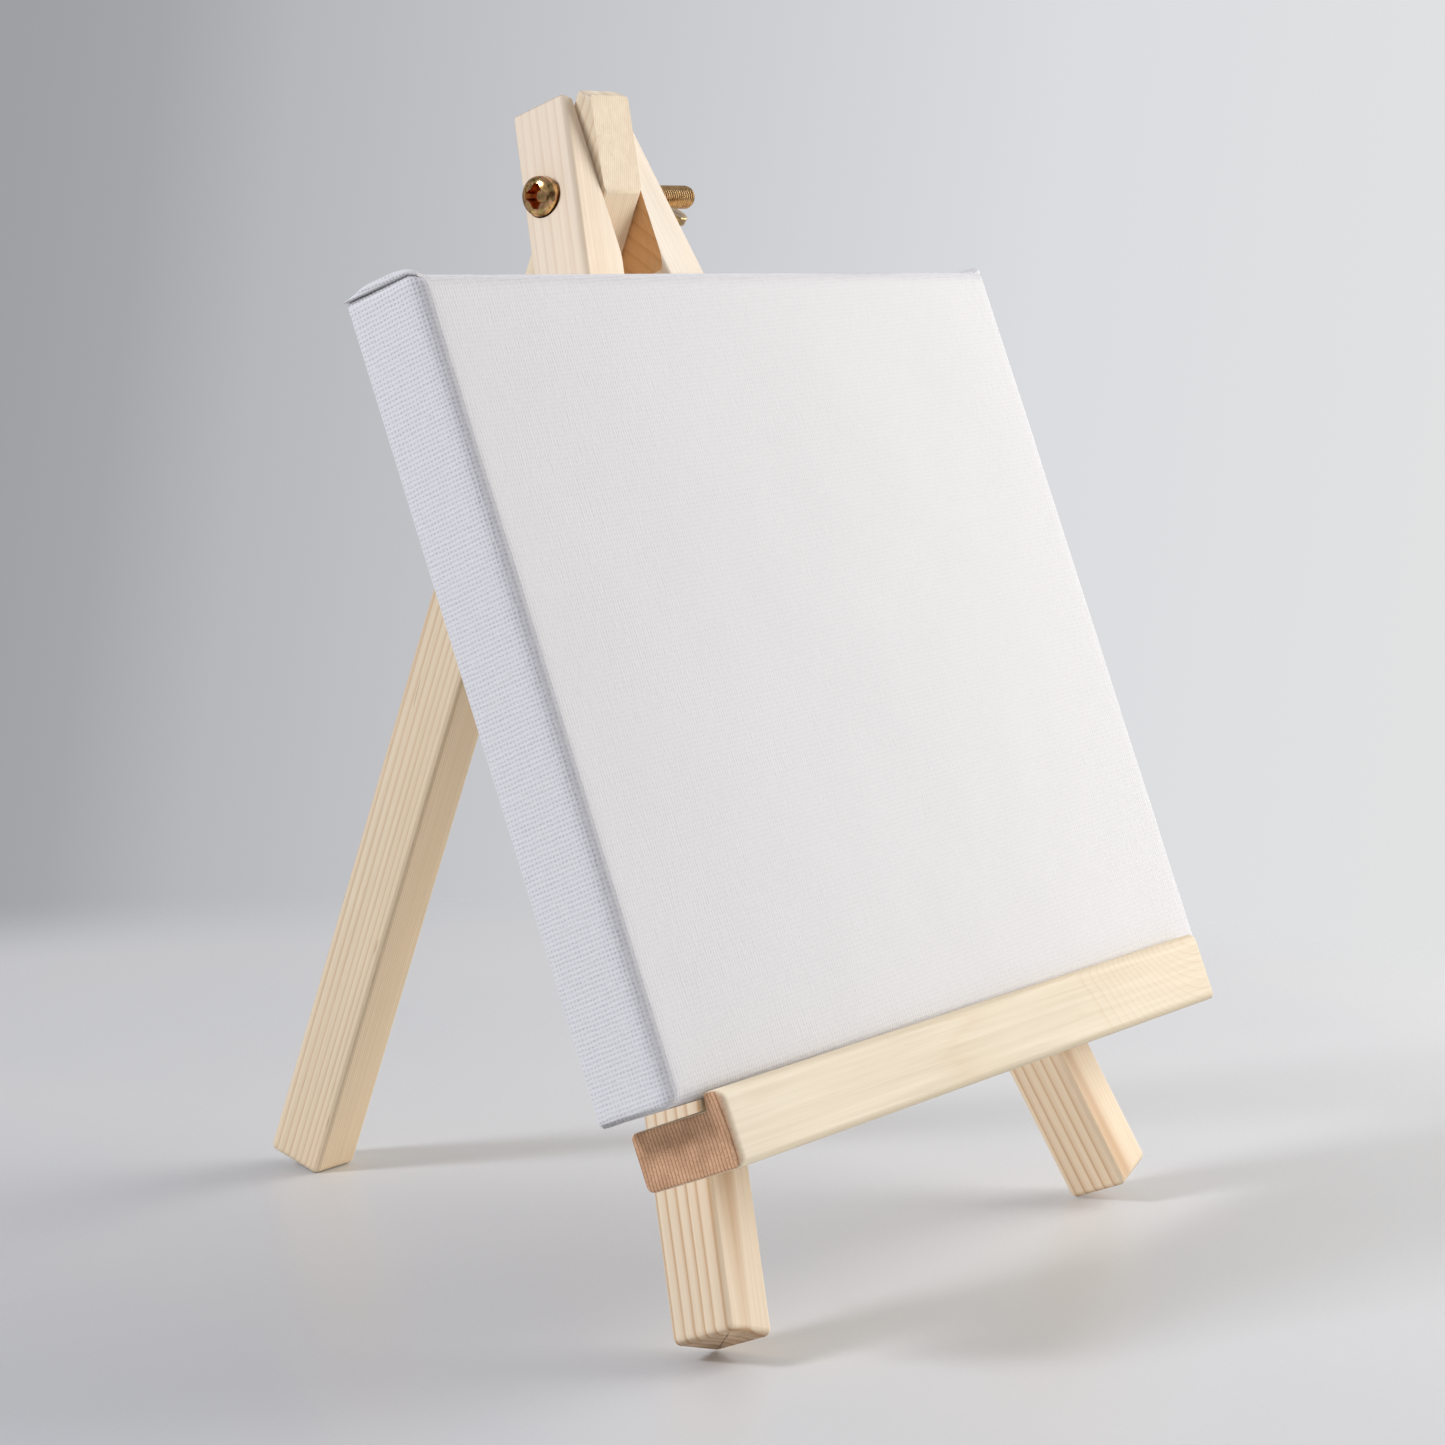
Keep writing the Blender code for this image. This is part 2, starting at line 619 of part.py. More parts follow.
def main():
    clear_scene()
    pine = make_material("pine", (0.84, 0.66, 0.44), 0.6)
    bar_pine = make_material("bar_pine", (0.80, 0.63, 0.42), 0.7)
    brass = make_material("yellow_zinc", (0.62, 0.44, 0.20), 0.28, 1.0)
    steel = make_material("staple_steel", (0.62, 0.62, 0.64), 0.35, 1.0)
    cotton = make_material("primed_cotton", (0.90, 0.90, 0.91), 0.85)

    floor = Matrix.Translation((0.0, -PLAN_CENTRE_Y, 0.0))
    frame = make_empty("leaning_frame", floor @ FRAME_AXES)
    pivot = make_empty("rear_leg_pivot", Matrix.Translation(PIVOT) @ REAR_AXES)

    left_bore, right_bore, rear_bore = make_leg_holes()
    ledge = make_ledge(frame, pine)
    for name, side, bore in (("left", LEFT, left_bore), ("right", RIGHT, right_bore)):
        leg = make_front_leg(f"{name}_front_leg", side, frame, pine)
        screw_hole = make_screw_hole(f"{name}_screw_hole", side, frame)
        combine(leg, bore)
        combine(leg, screw_hole)
        combine(ledge, screw_hole)
        make_ledge_screw(f"ledge_screw_{name}", side, frame, brass)
    combine(make_rear_leg(pivot, pine), rear_bore)
    make_pivot_bolt(brass)
    make_washer(brass)
    make_wing_nut(brass)
    make_canvas(frame, bar_pine, cotton, steel)


main()
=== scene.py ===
"""Looks of the small pine display easel and its stretched canvas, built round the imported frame.

Wood, canvas and hardware are modelled in the same places as the frame's nodes. Metres, +Z up,
the canvas faces -Y.
"""

import json
import math

import bmesh
import bpy
from mathutils import Matrix, Vector, noise


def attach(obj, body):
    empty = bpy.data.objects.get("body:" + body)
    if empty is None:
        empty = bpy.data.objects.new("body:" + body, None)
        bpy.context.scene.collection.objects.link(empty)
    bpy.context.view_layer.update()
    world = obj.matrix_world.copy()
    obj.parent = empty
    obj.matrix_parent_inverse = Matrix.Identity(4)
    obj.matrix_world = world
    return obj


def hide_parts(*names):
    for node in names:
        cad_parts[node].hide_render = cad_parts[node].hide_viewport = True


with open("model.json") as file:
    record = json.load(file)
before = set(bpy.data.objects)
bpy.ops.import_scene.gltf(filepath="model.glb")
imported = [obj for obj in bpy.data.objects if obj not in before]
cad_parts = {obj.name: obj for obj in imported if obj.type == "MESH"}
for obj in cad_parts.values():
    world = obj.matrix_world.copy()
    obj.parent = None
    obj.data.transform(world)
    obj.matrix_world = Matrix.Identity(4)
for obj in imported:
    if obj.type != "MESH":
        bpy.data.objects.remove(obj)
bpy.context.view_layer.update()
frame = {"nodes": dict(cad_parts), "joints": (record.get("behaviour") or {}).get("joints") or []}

MM = 0.001
LEFT, RIGHT = -1, 1

# ---- sizes, as in the frame

FRAME_LEAN = math.radians(22.0)
FRONT_SPLAY = math.radians(17.0)
REAR_LEAN = math.radians(19.0)
REAR_TOP_BEVEL = math.radians(30.0)
FLOOR_LINE_Y = -79.1686 * MM
STOCK = 13.0 * MM
ARRIS = 1.3 * MM
ARRIS_STEPS = 5
FOOT_ROUND = 1.5 * MM
TOP_ROUND = 0.8 * MM
FRONT_LEG_LENGTH = 242.0 * MM
FRONT_FOOT_OUT = 80.2 * MM
FRONT_FOOT_UP = 8.9104 * MM
FOOT_DROP = 0.42 * MM
REAR_LEG_ABOVE_PIVOT = 20.0 * MM
REAR_LEG_BELOW = 211.9191 * MM
REAR_BEVEL_START = 3.4 * MM
LEG_SIDE_GAP = 0.4 * MM
GAP = 0.3 * MM

PIVOT_UP = 222.0 * MM
PIVOT_BACK = 7.8 * MM
BOLT_R = 2.35 * MM
BOLT_ROOT_R = 1.90 * MM
THREAD_PITCH = 0.8 * MM
THREAD_START = 13.5 * MM
BOLT_TIP = 36.0 * MM
TIP_ROUND = 1.3 * MM
HEAD_R = 3.9 * MM
HEAD_FLANK = 2.1 * MM
HEAD_HEIGHT = 3.4 * MM
HEAD_SEAT = 14.5 * MM
RECESS_SPAN = 5.2 * MM
RECESS_WIDTH = 1.7 * MM
RECESS_DEPTH = 2.2 * MM
LEG_BORE_R = 2.7 * MM
PIVOT_BORE_R = 2.5 * MM
WASHER_R = 5.0 * MM
WASHER_SEAT = 14.6 * MM
WASHER_THICK = 1.0 * MM
WASHER_ROUND = 0.18 * MM
NUT_BASE_R = 4.6 * MM
NUT_TOP_R = 3.8 * MM
NUT_HEIGHT = 5.5 * MM
NUT_FLANGE = 1.2 * MM
CAST_VOXEL = 0.22 * MM
WING_SPAN = 22.0 * MM
WING_THICK = 1.8 * MM
WING_TIP_R = 2.7 * MM
WING_TOP = 7.6 * MM
WING_INSET = 0.8 * MM
WING_TURN = math.radians(-61.0)

LEDGE_LENGTH = 184.0 * MM
LEDGE_BOTTOM = 35.4 * MM
LEDGE_FLOOR = 46.3 * MM
LEDGE_FRONT_HEIGHT = 14.0 * MM
LEDGE_DEPTH = 20.7 * MM
LIP_THICK = 3.7 * MM
LIP_TOP_RADIUS = 2.0 * MM
LIP_BACK_RADIUS = 0.8 * MM
LEDGE_BACK_RADIUS = 1.1 * MM
LEDGE_EDGE_RADIUS = 1.5 * MM
LEDGE_END_ROUND = 0.6 * MM
LEDGE_FACE_ROUND = 1.4 * MM
END_STRETCH = 1.6
SCREW_HEAD_R = 3.4 * MM
SCREW_HEAD_FLANK = 0.7 * MM
SCREW_HEAD_HEIGHT = 2.2 * MM
SCREW_RECESS = (3.9 * MM, 1.0 * MM, 1.5 * MM)
SCREW_SHANK_R = 1.6 * MM
SCREW_LENGTH = 23.0 * MM
SCREW_POINT = 4.0 * MM

CANVAS_WIDTH = 200.0 * MM
CANVAS_HEIGHT = 150.0 * MM
CANVAS_DEPTH = 16.6 * MM
CANVAS_ASKEW = math.radians(-0.6)
CANVAS_OFF_CENTRE = 0.8 * MM
CANVAS_BOTTOM = 47.5634 * MM
CLOTH = 0.6 * MM
EDGE_ROUND = 2.8 * MM
BACK_ROUND = 0.9 * MM
FLAP = 15.0 * MM
STAPLE_PROUD = 0.28 * MM
MITRE_GAP = 0.02 * MM
CLOTH_OFF = 0.02 * MM
CLOTH_WAVE = 0.16 * MM
CLOTH_FLAT = 0.2 * MM
RAGGED = 0.35 * MM
FOLD_LENGTH = 18.0 * MM
FOLD_BULGE = 4.0 * MM


# ---- places

def leaning_axes(lean):
    """Axes of a board leaning back by `lean`: X across, Y up along it, Z out of its front."""
    return Matrix.Rotation(math.pi / 2.0 - lean, 4, "X")


PIVOT = Vector(frame["joints"][0]["pos_m"])
FRAME_AXES = Matrix.Translation((0.0, FLOOR_LINE_Y, 0.0)) @ leaning_axes(FRAME_LEAN)
REAR_AXES = Matrix.Translation(PIVOT) @ leaning_axes(-REAR_LEAN)
BOLT_AXES = Matrix.Translation(PIVOT) @ Matrix.Rotation(math.pi / 2.0, 4, "Y")
CANVAS_AXES = (
    FRAME_AXES
    @ Matrix.Translation((CANVAS_OFF_CENTRE, CANVAS_BOTTOM + CANVAS_HEIGHT / 2.0, GAP))
    @ Matrix.Rotation(CANVAS_ASKEW, 4, "Z")
)


def front_leg_axes(side):
    spot = Matrix.Translation((side * FRONT_FOOT_OUT, FRONT_FOOT_UP, 0.0))
    return FRAME_AXES @ spot @ Matrix.Rotation(side * FRONT_SPLAY, 4, "Z")


# ---- shader nodes

SHEEN_ROUGHNESS = 0.6


class Shader:
    """Short calls for building the nodes of one material, or of the world."""

    def __init__(self, name, world=False):
        self.material = (bpy.data.worlds if world else bpy.data.materials).new(name)
        self.material.use_nodes = True
        self.tree = self.material.node_tree
        self.surface = self.tree.nodes["Background" if world else "Principled BSDF"]

    def node(self, kind, **settings):
        made = self.tree.nodes.new(kind)
        for key, value in settings.items():
            setattr(made, key, value)
        return made

    def feed(self, socket, value):
        if isinstance(value, bpy.types.NodeSocket):
            self.tree.links.new(value, socket)
        else:
            socket.default_value = value

    def math(self, operation, first, second=0.0, third=0.0):
        made = self.node("ShaderNodeMath", operation=operation)
        for socket, value in zip(made.inputs, (first, second, third)):
            self.feed(socket, value)
        return made.outputs[0]

    def vector(self, operation, first, second=(0.0, 0.0, 0.0), result=0):
        made = self.node("ShaderNodeVectorMath", operation=operation)
        self.feed(made.inputs[0], first)
        self.feed(made.inputs[1], second)
        return made.outputs[result]

    def place(self, vector, matrix):
        """Coordinates in the axes of `matrix`."""
        inverse = matrix.inverted()
        made = self.node("ShaderNodeMapping", vector_type="POINT")
        self.feed(made.inputs["Vector"], vector)
        made.inputs["Location"].default_value = inverse.translation
        made.inputs["Rotation"].default_value = inverse.to_euler("XYZ")
        return made.outputs[0]

    def noise(self, vector, per_metre, detail=2.0, rough=0.5, colour=False):
        """Noise with `per_metre` waves along each axis, or along X, Y and Z."""
        stretch = per_metre if isinstance(per_metre, tuple) else (per_metre,) * 3
        made = self.node("ShaderNodeTexNoise")
        self.feed(made.inputs["Vector"], self.vector("MULTIPLY", vector, stretch))
        made.inputs["Scale"].default_value = 1.0
        made.inputs["Detail"].default_value = detail
        made.inputs["Roughness"].default_value = rough
        return made.outputs["Color" if colour else "Fac"]

    def span(self, value, low, high, to_low=0.0, to_high=1.0, smooth=False):
        made = self.node("ShaderNodeMapRange")
        made.interpolation_type = "SMOOTHSTEP" if smooth else "LINEAR"
        self.feed(made.inputs["Value"], value)
        made.inputs["From Min"].default_value = low
        made.inputs["From Max"].default_value = high
        made.inputs["To Min"].default_value = to_low
        made.inputs["To Max"].default_value = to_high
        return made.outputs[0]

    def ramp(self, value, stops):
        made = self.node("ShaderNodeValToRGB")
        self.feed(made.inputs[0], value)
        points = made.color_ramp.elements
        while len(points) < len(stops):
            points.new(0.5)
        for point, (spot, colour) in zip(points, stops):
            point.position = spot
            point.color = (*colour, 1.0)
        return made.outputs[0]

    def split(self, vector):
        made = self.node("ShaderNodeSeparateXYZ")
        self.feed(made.inputs[0], vector)
        return made.outputs

    def multiply(self, colour, value, dark, light):
        """Colour multiplied by a tone between `dark` and `light`, as `value` goes 0.3 to 0.7."""
        return self.mix(1.0, colour, self.ramp(value, ((0.3, dark), (0.7, light))), "MULTIPLY")

    def mix(self, factor, first, second, blend="MIX"):
        made = self.node("ShaderNodeMix", data_type="RGBA", blend_type=blend)
        self.feed(made.inputs["Factor"], factor)
        for socket, value in ((made.inputs[6], first), (made.inputs[7], second)):
            self.feed(socket, (*value, 1.0) if isinstance(value, tuple) else value)
        return made.outputs[2]

    def bump(self, height, distance, strength=1.0):
        made = self.node("ShaderNodeBump")
        self.feed(made.inputs["Height"], height)
        made.inputs["Distance"].default_value = distance
        made.inputs["Strength"].default_value = strength
        return made.outputs[0]

    def object_place(self):
        """Place on the mesh in metres. The new meshes lie in the frame's own axes."""
        return self.node("ShaderNodeTexCoord").outputs["Object"]

    def object_normal(self):
        return self.node("ShaderNodeTexCoord").outputs["Normal"]

    def finish(self, colour, roughness, normal, metallic=0.0, specular=0.5, sheen=0.0):
        self.feed(self.surface.inputs["Base Color"], colour)
        self.feed(self.surface.inputs["Roughness"], roughness)
        self.feed(self.surface.inputs["Normal"], normal)
        self.surface.inputs["Metallic"].default_value = metallic
        self.surface.inputs["Specular IOR Level"].default_value = specular
        if sheen:
            self.surface.inputs["Sheen Weight"].default_value = sheen
            self.surface.inputs["Sheen Roughness"].default_value = SHEEN_ROUGHNESS
        return self.material


def pine(name, grain, pith, ring, seed, tilt=(0.0, 0.0), early=(0.90, 0.755, 0.565),
         late=(0.60, 0.33, 0.13), contrast=0.7, end_light=(0.72, 0.55, 0.38),
         end_dark=(0.50, 0.30, 0.16), fleck=0.15, wander=0.0012, uneven=0.7, fade=None,
         pale=(0.96, 0.84, 0.69), whorl=None, end_from=0.35):
    """Planed pine. `grain` has Y along the board, `pith` is the tree's centre in its X and Z.

    `ring` is the width of a year. `fade` changes the lines' strength along the board, and where
    they are weak the wood is `pale`: (from Y, to Y, strength before, strength after). `whorl`
    bends the rings round a spot, as beside a knot: (spot, reach, rise). Faces across the grain
    get the end tones.
    """
    s = Shader(name)
    here = s.object_place()
    rings_at = (
        grain
        @ Matrix.Translation((pith[0], 0.0, pith[1]))
        @ Matrix.Rotation(tilt[0], 4, "X")
        @ Matrix.Rotation(tilt[1], 4, "Z")
    )
    on_board = s.place(here, grain)
    board = s.vector("ADD", on_board, (seed * 0.31, seed * 0.17, seed * 0.23))
    slow = s.noise(board, (38.0, 7.0, 38.0), 2.0, 0.5, colour=True)
    drift = s.vector("MULTIPLY", s.vector("SUBTRACT", slow, (0.5, 0.5, 0.5)), (wander * 2.0,) * 3)
    across = s.vector("MULTIPLY", s.vector("ADD", s.place(here, rings_at), drift), (1.0, 0.0, 1.0))
    radius = s.vector("LENGTH", across, result=1)
    if whorl:
        centre, reach, rise = whorl
        apart = s.vector("LENGTH", s.vector("SUBTRACT", on_board, centre), result=1)
        radius = s.math("ADD", radius, s.span(apart, 0.0, reach, rise, 0.0, smooth=True))
    spread = s.noise(across, 0.3 / ring, 1.0, 0.5)
    count = s.math("ADD", s.math("DIVIDE", radius, ring), s.math("MULTIPLY", spread, uneven))
    share = s.math("FRACT", count)
    late_wood = s.ramp(share, (
        (0.0, (0.30,) * 3), (0.07, (0.0,) * 3), (0.5, (0.05,) * 3), (0.78, (0.38,) * 3),
        (0.91, (1.0,) * 3), (1.0, (0.30,) * 3),
    ))
    patch = s.noise(board, (55.0, 9.0, 55.0), 2.0, 0.5)
    depth = s.math("MULTIPLY", s.span(patch, 0.3, 0.7, 0.65 * contrast, contrast), late_wood)
    if fade:
        strong = s.span(s.split(on_board)[1], *fade, smooth=True)
        depth = s.math("MULTIPLY", depth, strong)
        early = s.mix(strong, pale, early)
    colour = s.mix(depth, early, late)

    fibre = s.noise(board, (1500.0, 22.0, 1500.0), 3.0, 0.6)
    colour = s.multiply(colour, fibre, (0.94, 0.925, 0.90), (1.03, 1.03, 1.03))
    tint = s.noise(board, (24.0, 5.0, 24.0), 3.0, 0.55)
    colour = s.multiply(colour, tint, (1.02, 0.985, 0.93), (0.98, 1.0, 1.02))
    ducts = s.noise(board, (1300.0, 95.0, 1300.0), 1.0, 0.5)
    colour = s.mix(s.span(ducts, 0.70, 0.80, 0.0, fleck, smooth=True), colour, (0.42, 0.22, 0.09))

    axis = grain.to_3x3() @ Vector((0.0, 1.0, 0.0))
    facing = s.math("ABSOLUTE", s.vector("DOT_PRODUCT", s.object_normal(), tuple(axis), result=1))
    cut_end = s.span(facing, end_from, 0.80, smooth=True)
    pores = s.noise(board, (2400.0, 500.0, 2400.0), 2.0, 0.6)
    end_tone = s.mix(late_wood, end_light, end_dark)
    end_tone = s.mix(s.span(pores, 0.48, 0.66, 0.0, 0.40), end_tone, end_dark)
    stain = s.noise(board, 260.0, 2.0, 0.5)
    end_tone = s.multiply(end_tone, stain, (0.84, 0.80, 0.76), (1.1, 1.1, 1.1))
    colour = s.mix(cut_end, colour, end_tone)

    roughness = s.math("ADD", s.span(fibre, 0.3, 0.7, 0.58, 0.46), s.math("MULTIPLY", cut_end, 0.2))
    relief = s.math("ADD", s.math("MULTIPLY", fibre, 0.5), s.math("MULTIPLY", late_wood, 0.22))
    relief = s.math("ADD", relief, s.math("MULTIPLY", s.math("MULTIPLY", pores, cut_end), 0.8))
    normal = s.bump(relief, 0.10 * MM, 0.5)
    return s.finish(colour, roughness, normal, specular=0.35)


def primed_cotton(name, white, shade, weave_depth, priming):
    """Plain-weave cotton under white primer. Threads follow the cloth's own flat coordinates.

    `priming` is how far the primer fills the weave on the front. Past the edges it is thin.
    Shade in the weave's pits and over the cloth's rounded edge is painted in towards `shade`.
    """
    s = Shader(name)
    flat = s.node("ShaderNodeAttribute", attribute_name="flat").outputs["Vector"]
    waver = s.noise(flat, 420.0, 3.0, 0.6, colour=True)
    waver = s.vector("MULTIPLY", s.vector("SUBTRACT", waver, (0.5,) * 3), (0.00055,) * 3)
    flat = s.vector("ADD", flat, waver)
    parts = s.split(flat)
    skewed = s.math("SUBTRACT", parts[1], s.math("MULTIPLY", parts[0], WEFT_SKEW))
    warp = s.math("DIVIDE", parts[0], WARP_PITCH)
    weft = s.math("DIVIDE", skewed, WEFT_PITCH)
    over = []
    for along, beside, lift, narrow, tall in (
        (weft, warp, 0.0, 1.0, 0.97), (warp, weft, math.pi, 0.75, 1.0),
    ):
        row = s.math("MULTIPLY", s.math("FLOOR", beside), math.pi)
        wave = s.math("SINE", s.math("ADD", s.math("MULTIPLY_ADD", along, math.pi, lift), row))
        crown = s.math("ABSOLUTE", s.math("SINE", s.math("MULTIPLY", beside, math.pi)))
        crown = s.math("POWER", crown, narrow)
        over.append(s.math("MULTIPLY", crown, s.math("MULTIPLY_ADD", wave, 0.07, tall)))
    reach = s.vector("SUBTRACT", s.vector("ABSOLUTE", flat),
                     (CANVAS_WIDTH / 2.0, CANVAS_HEIGHT / 2.0, 0.0))
    edges = s.split(reach)
    beyond = s.math("MAXIMUM", edges[0], edges[1])
    bare = s.span(beyond, -2.5 * MM, 1.0 * MM, 1.0 - priming, 1.0, smooth=True)
    flatter = s.math("MULTIPLY_ADD", bare, 0.25, 0.75)
    height = s.math("MAXIMUM", over[0], s.math("MULTIPLY", over[1], flatter))
    thick_warp = s.noise(flat, (1500.0, 300.0, 60.0), 2.0, 0.5)
    thick_weft = s.noise(flat, (300.0, 1300.0, 60.0), 2.0, 0.5)
    covered = s.math("SUBTRACT", 1.0, bare)
    slubs = s.math("MULTIPLY_ADD", covered, thick_warp, s.math("MULTIPLY", thick_warp, 0.5))
    slubs = s.math("MULTIPLY_ADD", s.math("MULTIPLY", bare, 0.5), thick_weft, slubs)
    # Painted shade: a band over the cloth's rounded edge, used below to darken it towards `shade`.
    rounded_edge_shade = s.math("MULTIPLY", s.span(beyond, -3.5 * MM, -1.0 * MM, smooth=True),
                         s.span(beyond, 0.0, 4.0 * MM, 1.0, 0.25, smooth=True))
    # Painted shade: the pits between the threads are darkened towards `shade`, more where the
    # primer is thin and most over the rounded edge.
    pits = s.span(height, 0.60, 0.97, 1.0, 0.0, smooth=True)
    clogged = s.span(s.noise(flat, 650.0, 2.0, 0.6), 0.35, 0.65, 0.25, 1.0)
    pits = s.math("MULTIPLY", pits, clogged)
    pit_shade_reach = s.math("MULTIPLY_ADD", rounded_edge_shade, 0.5, s.math("MULTIPLY", bare, 0.32))
    painted_pit_shade = s.math("MULTIPLY", pits, pit_shade_reach)
    colour = s.mix(painted_pit_shade, white, shade)
    # Painted shade: the rounded edge is darkened towards `shade`.
    colour = s.mix(s.math("MULTIPLY", rounded_edge_shade, 0.16), colour, shade)
    cover = s.noise(flat, 30.0, 3.0, 0.6)
    height = s.math("MULTIPLY", s.math("ADD", height, s.math("MULTIPLY", slubs, 1.3)), bare)
    normal = s.bump(height, weave_depth, 1.0)
    roughness = s.span(cover, 0.3, 0.7, 0.78, 0.9)
    return s.finish(colour, roughness, normal, specular=0.25, sheen=0.15)


def plated(name, tones, roughness, wear, grooves=None):
    """Plated steel: a film that wanders through `tones`, fine scratches and dull specks.
    The darkest of the bolt's tones are painted dark reflections.

    `grooves` paints shade at the foot of a thread: (its axes, root radius, crest radius).
    """
    s = Shader(name)
    here = s.object_place()
    cloud = s.noise(here, 420.0, 2.0, 0.5)
    fine = s.noise(here, 900.0, 4.0, 0.7)
    specks = s.noise(here, 2600.0, 1.0, 0.5)
    low, wide = 0.32, 0.36
    step = wide / (len(tones) - 1)
    colour = s.ramp(cloud, [(low + step * index, tone) for index, tone in enumerate(tones)])
    colour = s.mix(s.span(specks, 0.62, 0.76, 0.0, wear), colour, (0.16, 0.09, 0.04))
    # Painted shade: the thread's roots are darkened towards a dark brown.
    if grooves:
        axes, root, crest = grooves
        from_axis = s.vector("MULTIPLY", s.place(here, axes), (1.0, 1.0, 0.0))
        raised = s.span(s.vector("LENGTH", from_axis, result=1), root, crest)
        colour = s.mix(raised, (0.10, 0.045, 0.02), colour)
    rough = s.math("ADD", s.span(fine, 0.3, 0.7, roughness * 0.7, roughness * 1.5),
                   s.span(specks, 0.62, 0.76, 0.0, 0.25))
    normal = s.bump(fine, 0.02 * MM, 0.35)
    return s.finish(colour, rough, normal, metallic=1.0)


# ---- mesh makers

SHARP_ANGLE = math.radians(42.0)


def arc(radius, centre, start, stop, steps):
    """Points of an arc in a plane, angles in degrees."""
    points = []
    for step in range(steps + 1):
        turn = math.radians(start + (stop - start) * step / steps)
        points.append((centre[0] + radius * math.cos(turn), centre[1] + radius * math.sin(turn)))
    return points


def section_points(x_low, x_high, z_low, z_high):
    """Outline of a bar's end in X and Z, with its four arrises eased."""
    corners = (
        (x_high - ARRIS, z_high - ARRIS, 0.0),
        (x_low + ARRIS, z_high - ARRIS, 90.0),
        (x_low + ARRIS, z_low + ARRIS, 180.0),
        (x_high - ARRIS, z_low + ARRIS, 270.0),
    )
    points = []
    for x, z, start in corners:
        points += arc(ARRIS, (x, z), start, start + 90.0, ARRIS_STEPS)
    return points


def outward(bm):
    bmesh.ops.recalc_face_normals(bm, faces=bm.faces)


def loft(bm, rings):
    """Skin between rings of points, with a face over the first and the last."""
    for near, far in zip(rings, rings[1:]):
        for index in range(len(near)):
            after = (index + 1) % len(near)
            bm.faces.new((near[index], near[after], far[after], far[index]))
    bm.faces.new(rings[0])
    bm.faces.new(list(reversed(rings[-1])))


def extruded(points, vector):
    """Closed solid from a flat outline of 3-D points, extruded along a vector."""
    bm = bmesh.new()
    near = [bm.verts.new(point) for point in points]
    far = [bm.verts.new(Vector(point) + Vector(vector)) for point in points]
    loft(bm, (near, far))
    outward(bm)
    return bm


def rounded_bar(outline, start, stop, start_round, stop_round, place, steps=5, stretch=1.0):
    """Bar lofted between two ends that are rounded over.

    `outline` is a closed counter-clockwise list of 2-D points. The roundings are functions of the
    outline's outward normal. `place` turns (across, up, along) into a 3-D point. `stretch` makes
    the roundings longer along the bar than they are deep.
    """
    count = len(outline)
    normals = []
    for index in range(count):
        before, after = Vector(outline[index - 1]), Vector(outline[(index + 1) % count])
        way = (after - before).normalized()
        normals.append(Vector((way.y, -way.x)))
    rings = []
    bm = bmesh.new()
    for end, sign, rounding in ((start, -1.0, start_round), (stop, 1.0, stop_round)):
        turns = [math.pi / 2.0 * step / steps for step in range(steps + 1)]
        if sign < 0.0:
            turns.reverse()
        for turn in turns:
            ring = []
            for point, normal in zip(outline, normals):
                r = rounding(normal)
                spot = Vector(point) - normal * r * (1.0 - math.cos(turn))
                along = end - sign * r * stretch * (1.0 - math.sin(turn))
                ring.append(bm.verts.new(place(spot.x, spot.y, along)))
            rings.append(ring)
    loft(bm, rings)
    outward(bm)
    return bm


def turned(profile, segments=64):
    """Solid turned about Z. The profile lists (radius, z), starting and ending on the axis."""
    bm = bmesh.new()
    rings = []
    for radius, z in profile:
        if radius == 0.0:
            rings.append([bm.verts.new((0.0, 0.0, z))])
            continue
        ring = []
        for index in range(segments):
            turn = 2.0 * math.pi * index / segments
            ring.append(bm.verts.new((radius * math.cos(turn), radius * math.sin(turn), z)))
        rings.append(ring)
    for low, high in zip(rings, rings[1:]):
        for index in range(segments):
            after = (index + 1) % segments
            corners = [low[index % len(low)], low[after % len(low)]]
            corners += [high[after % len(high)], high[index % len(high)]]
            bm.faces.new(list(dict.fromkeys(corners)))
    outward(bm)
    return bm


def saw(bm, point, normal):
    """Saw off everything on the normal's side of a plane and close the cut."""
    geometry = bm.verts[:] + bm.edges[:] + bm.faces[:]
    result = bmesh.ops.bisect_plane(
        bm, geom=geometry, plane_co=point, plane_no=normal, clear_outer=True, dist=1e-7
    )
    rim = [item for item in result["geom_cut"] if isinstance(item, bmesh.types.BMEdge)]
    bmesh.ops.edgenet_fill(bm, edges=rim)
    outward(bm)


def put(name, data):
    """A new object in the scene."""
    obj = bpy.data.objects.new(name, data)
    bpy.context.scene.collection.objects.link(obj)
    return obj


def loose(name, bm, matrix):
    """An object from a bmesh, its mesh moved by `matrix` into the frame's axes."""
    bm.transform(matrix)
    mesh = bpy.data.meshes.new(name)
    bm.to_mesh(mesh)
    bm.free()
    return put(name, mesh)


def settle(obj):
    """Apply an object's modifiers to its mesh."""
    graph = bpy.context.evaluated_depsgraph_get()
    mesh = bpy.data.meshes.new_from_object(obj.evaluated_get(graph))
    obj.modifiers.clear()
    obj.data = mesh


def carve(obj, cutter, operation="DIFFERENCE"):
    """Cut a mesh with another, or fuse them, and use the other up."""
    modifier = obj.modifiers.new(cutter.name, "BOOLEAN")
    modifier.operation = operation
    modifier.solver = "EXACT"
    modifier.object = cutter
    settle(obj)
    bpy.data.objects.remove(cutter, do_unlink=True)


def piece(obj, body, nodes, slot, *materials):
    """Shade a finished mesh, give it its materials and let it stand for frame nodes."""
    obj.data.materials.clear()
    for material in materials:
        obj.data.materials.append(material)
    obj.data.shade_smooth()
    obj.data.set_sharp_from_angle(angle=SHARP_ANGLE)
    weighted = obj.modifiers.new("normals", "WEIGHTED_NORMAL")
    weighted.keep_sharp = True
    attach(obj, body)
    if nodes:
        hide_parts(*nodes)
    return obj


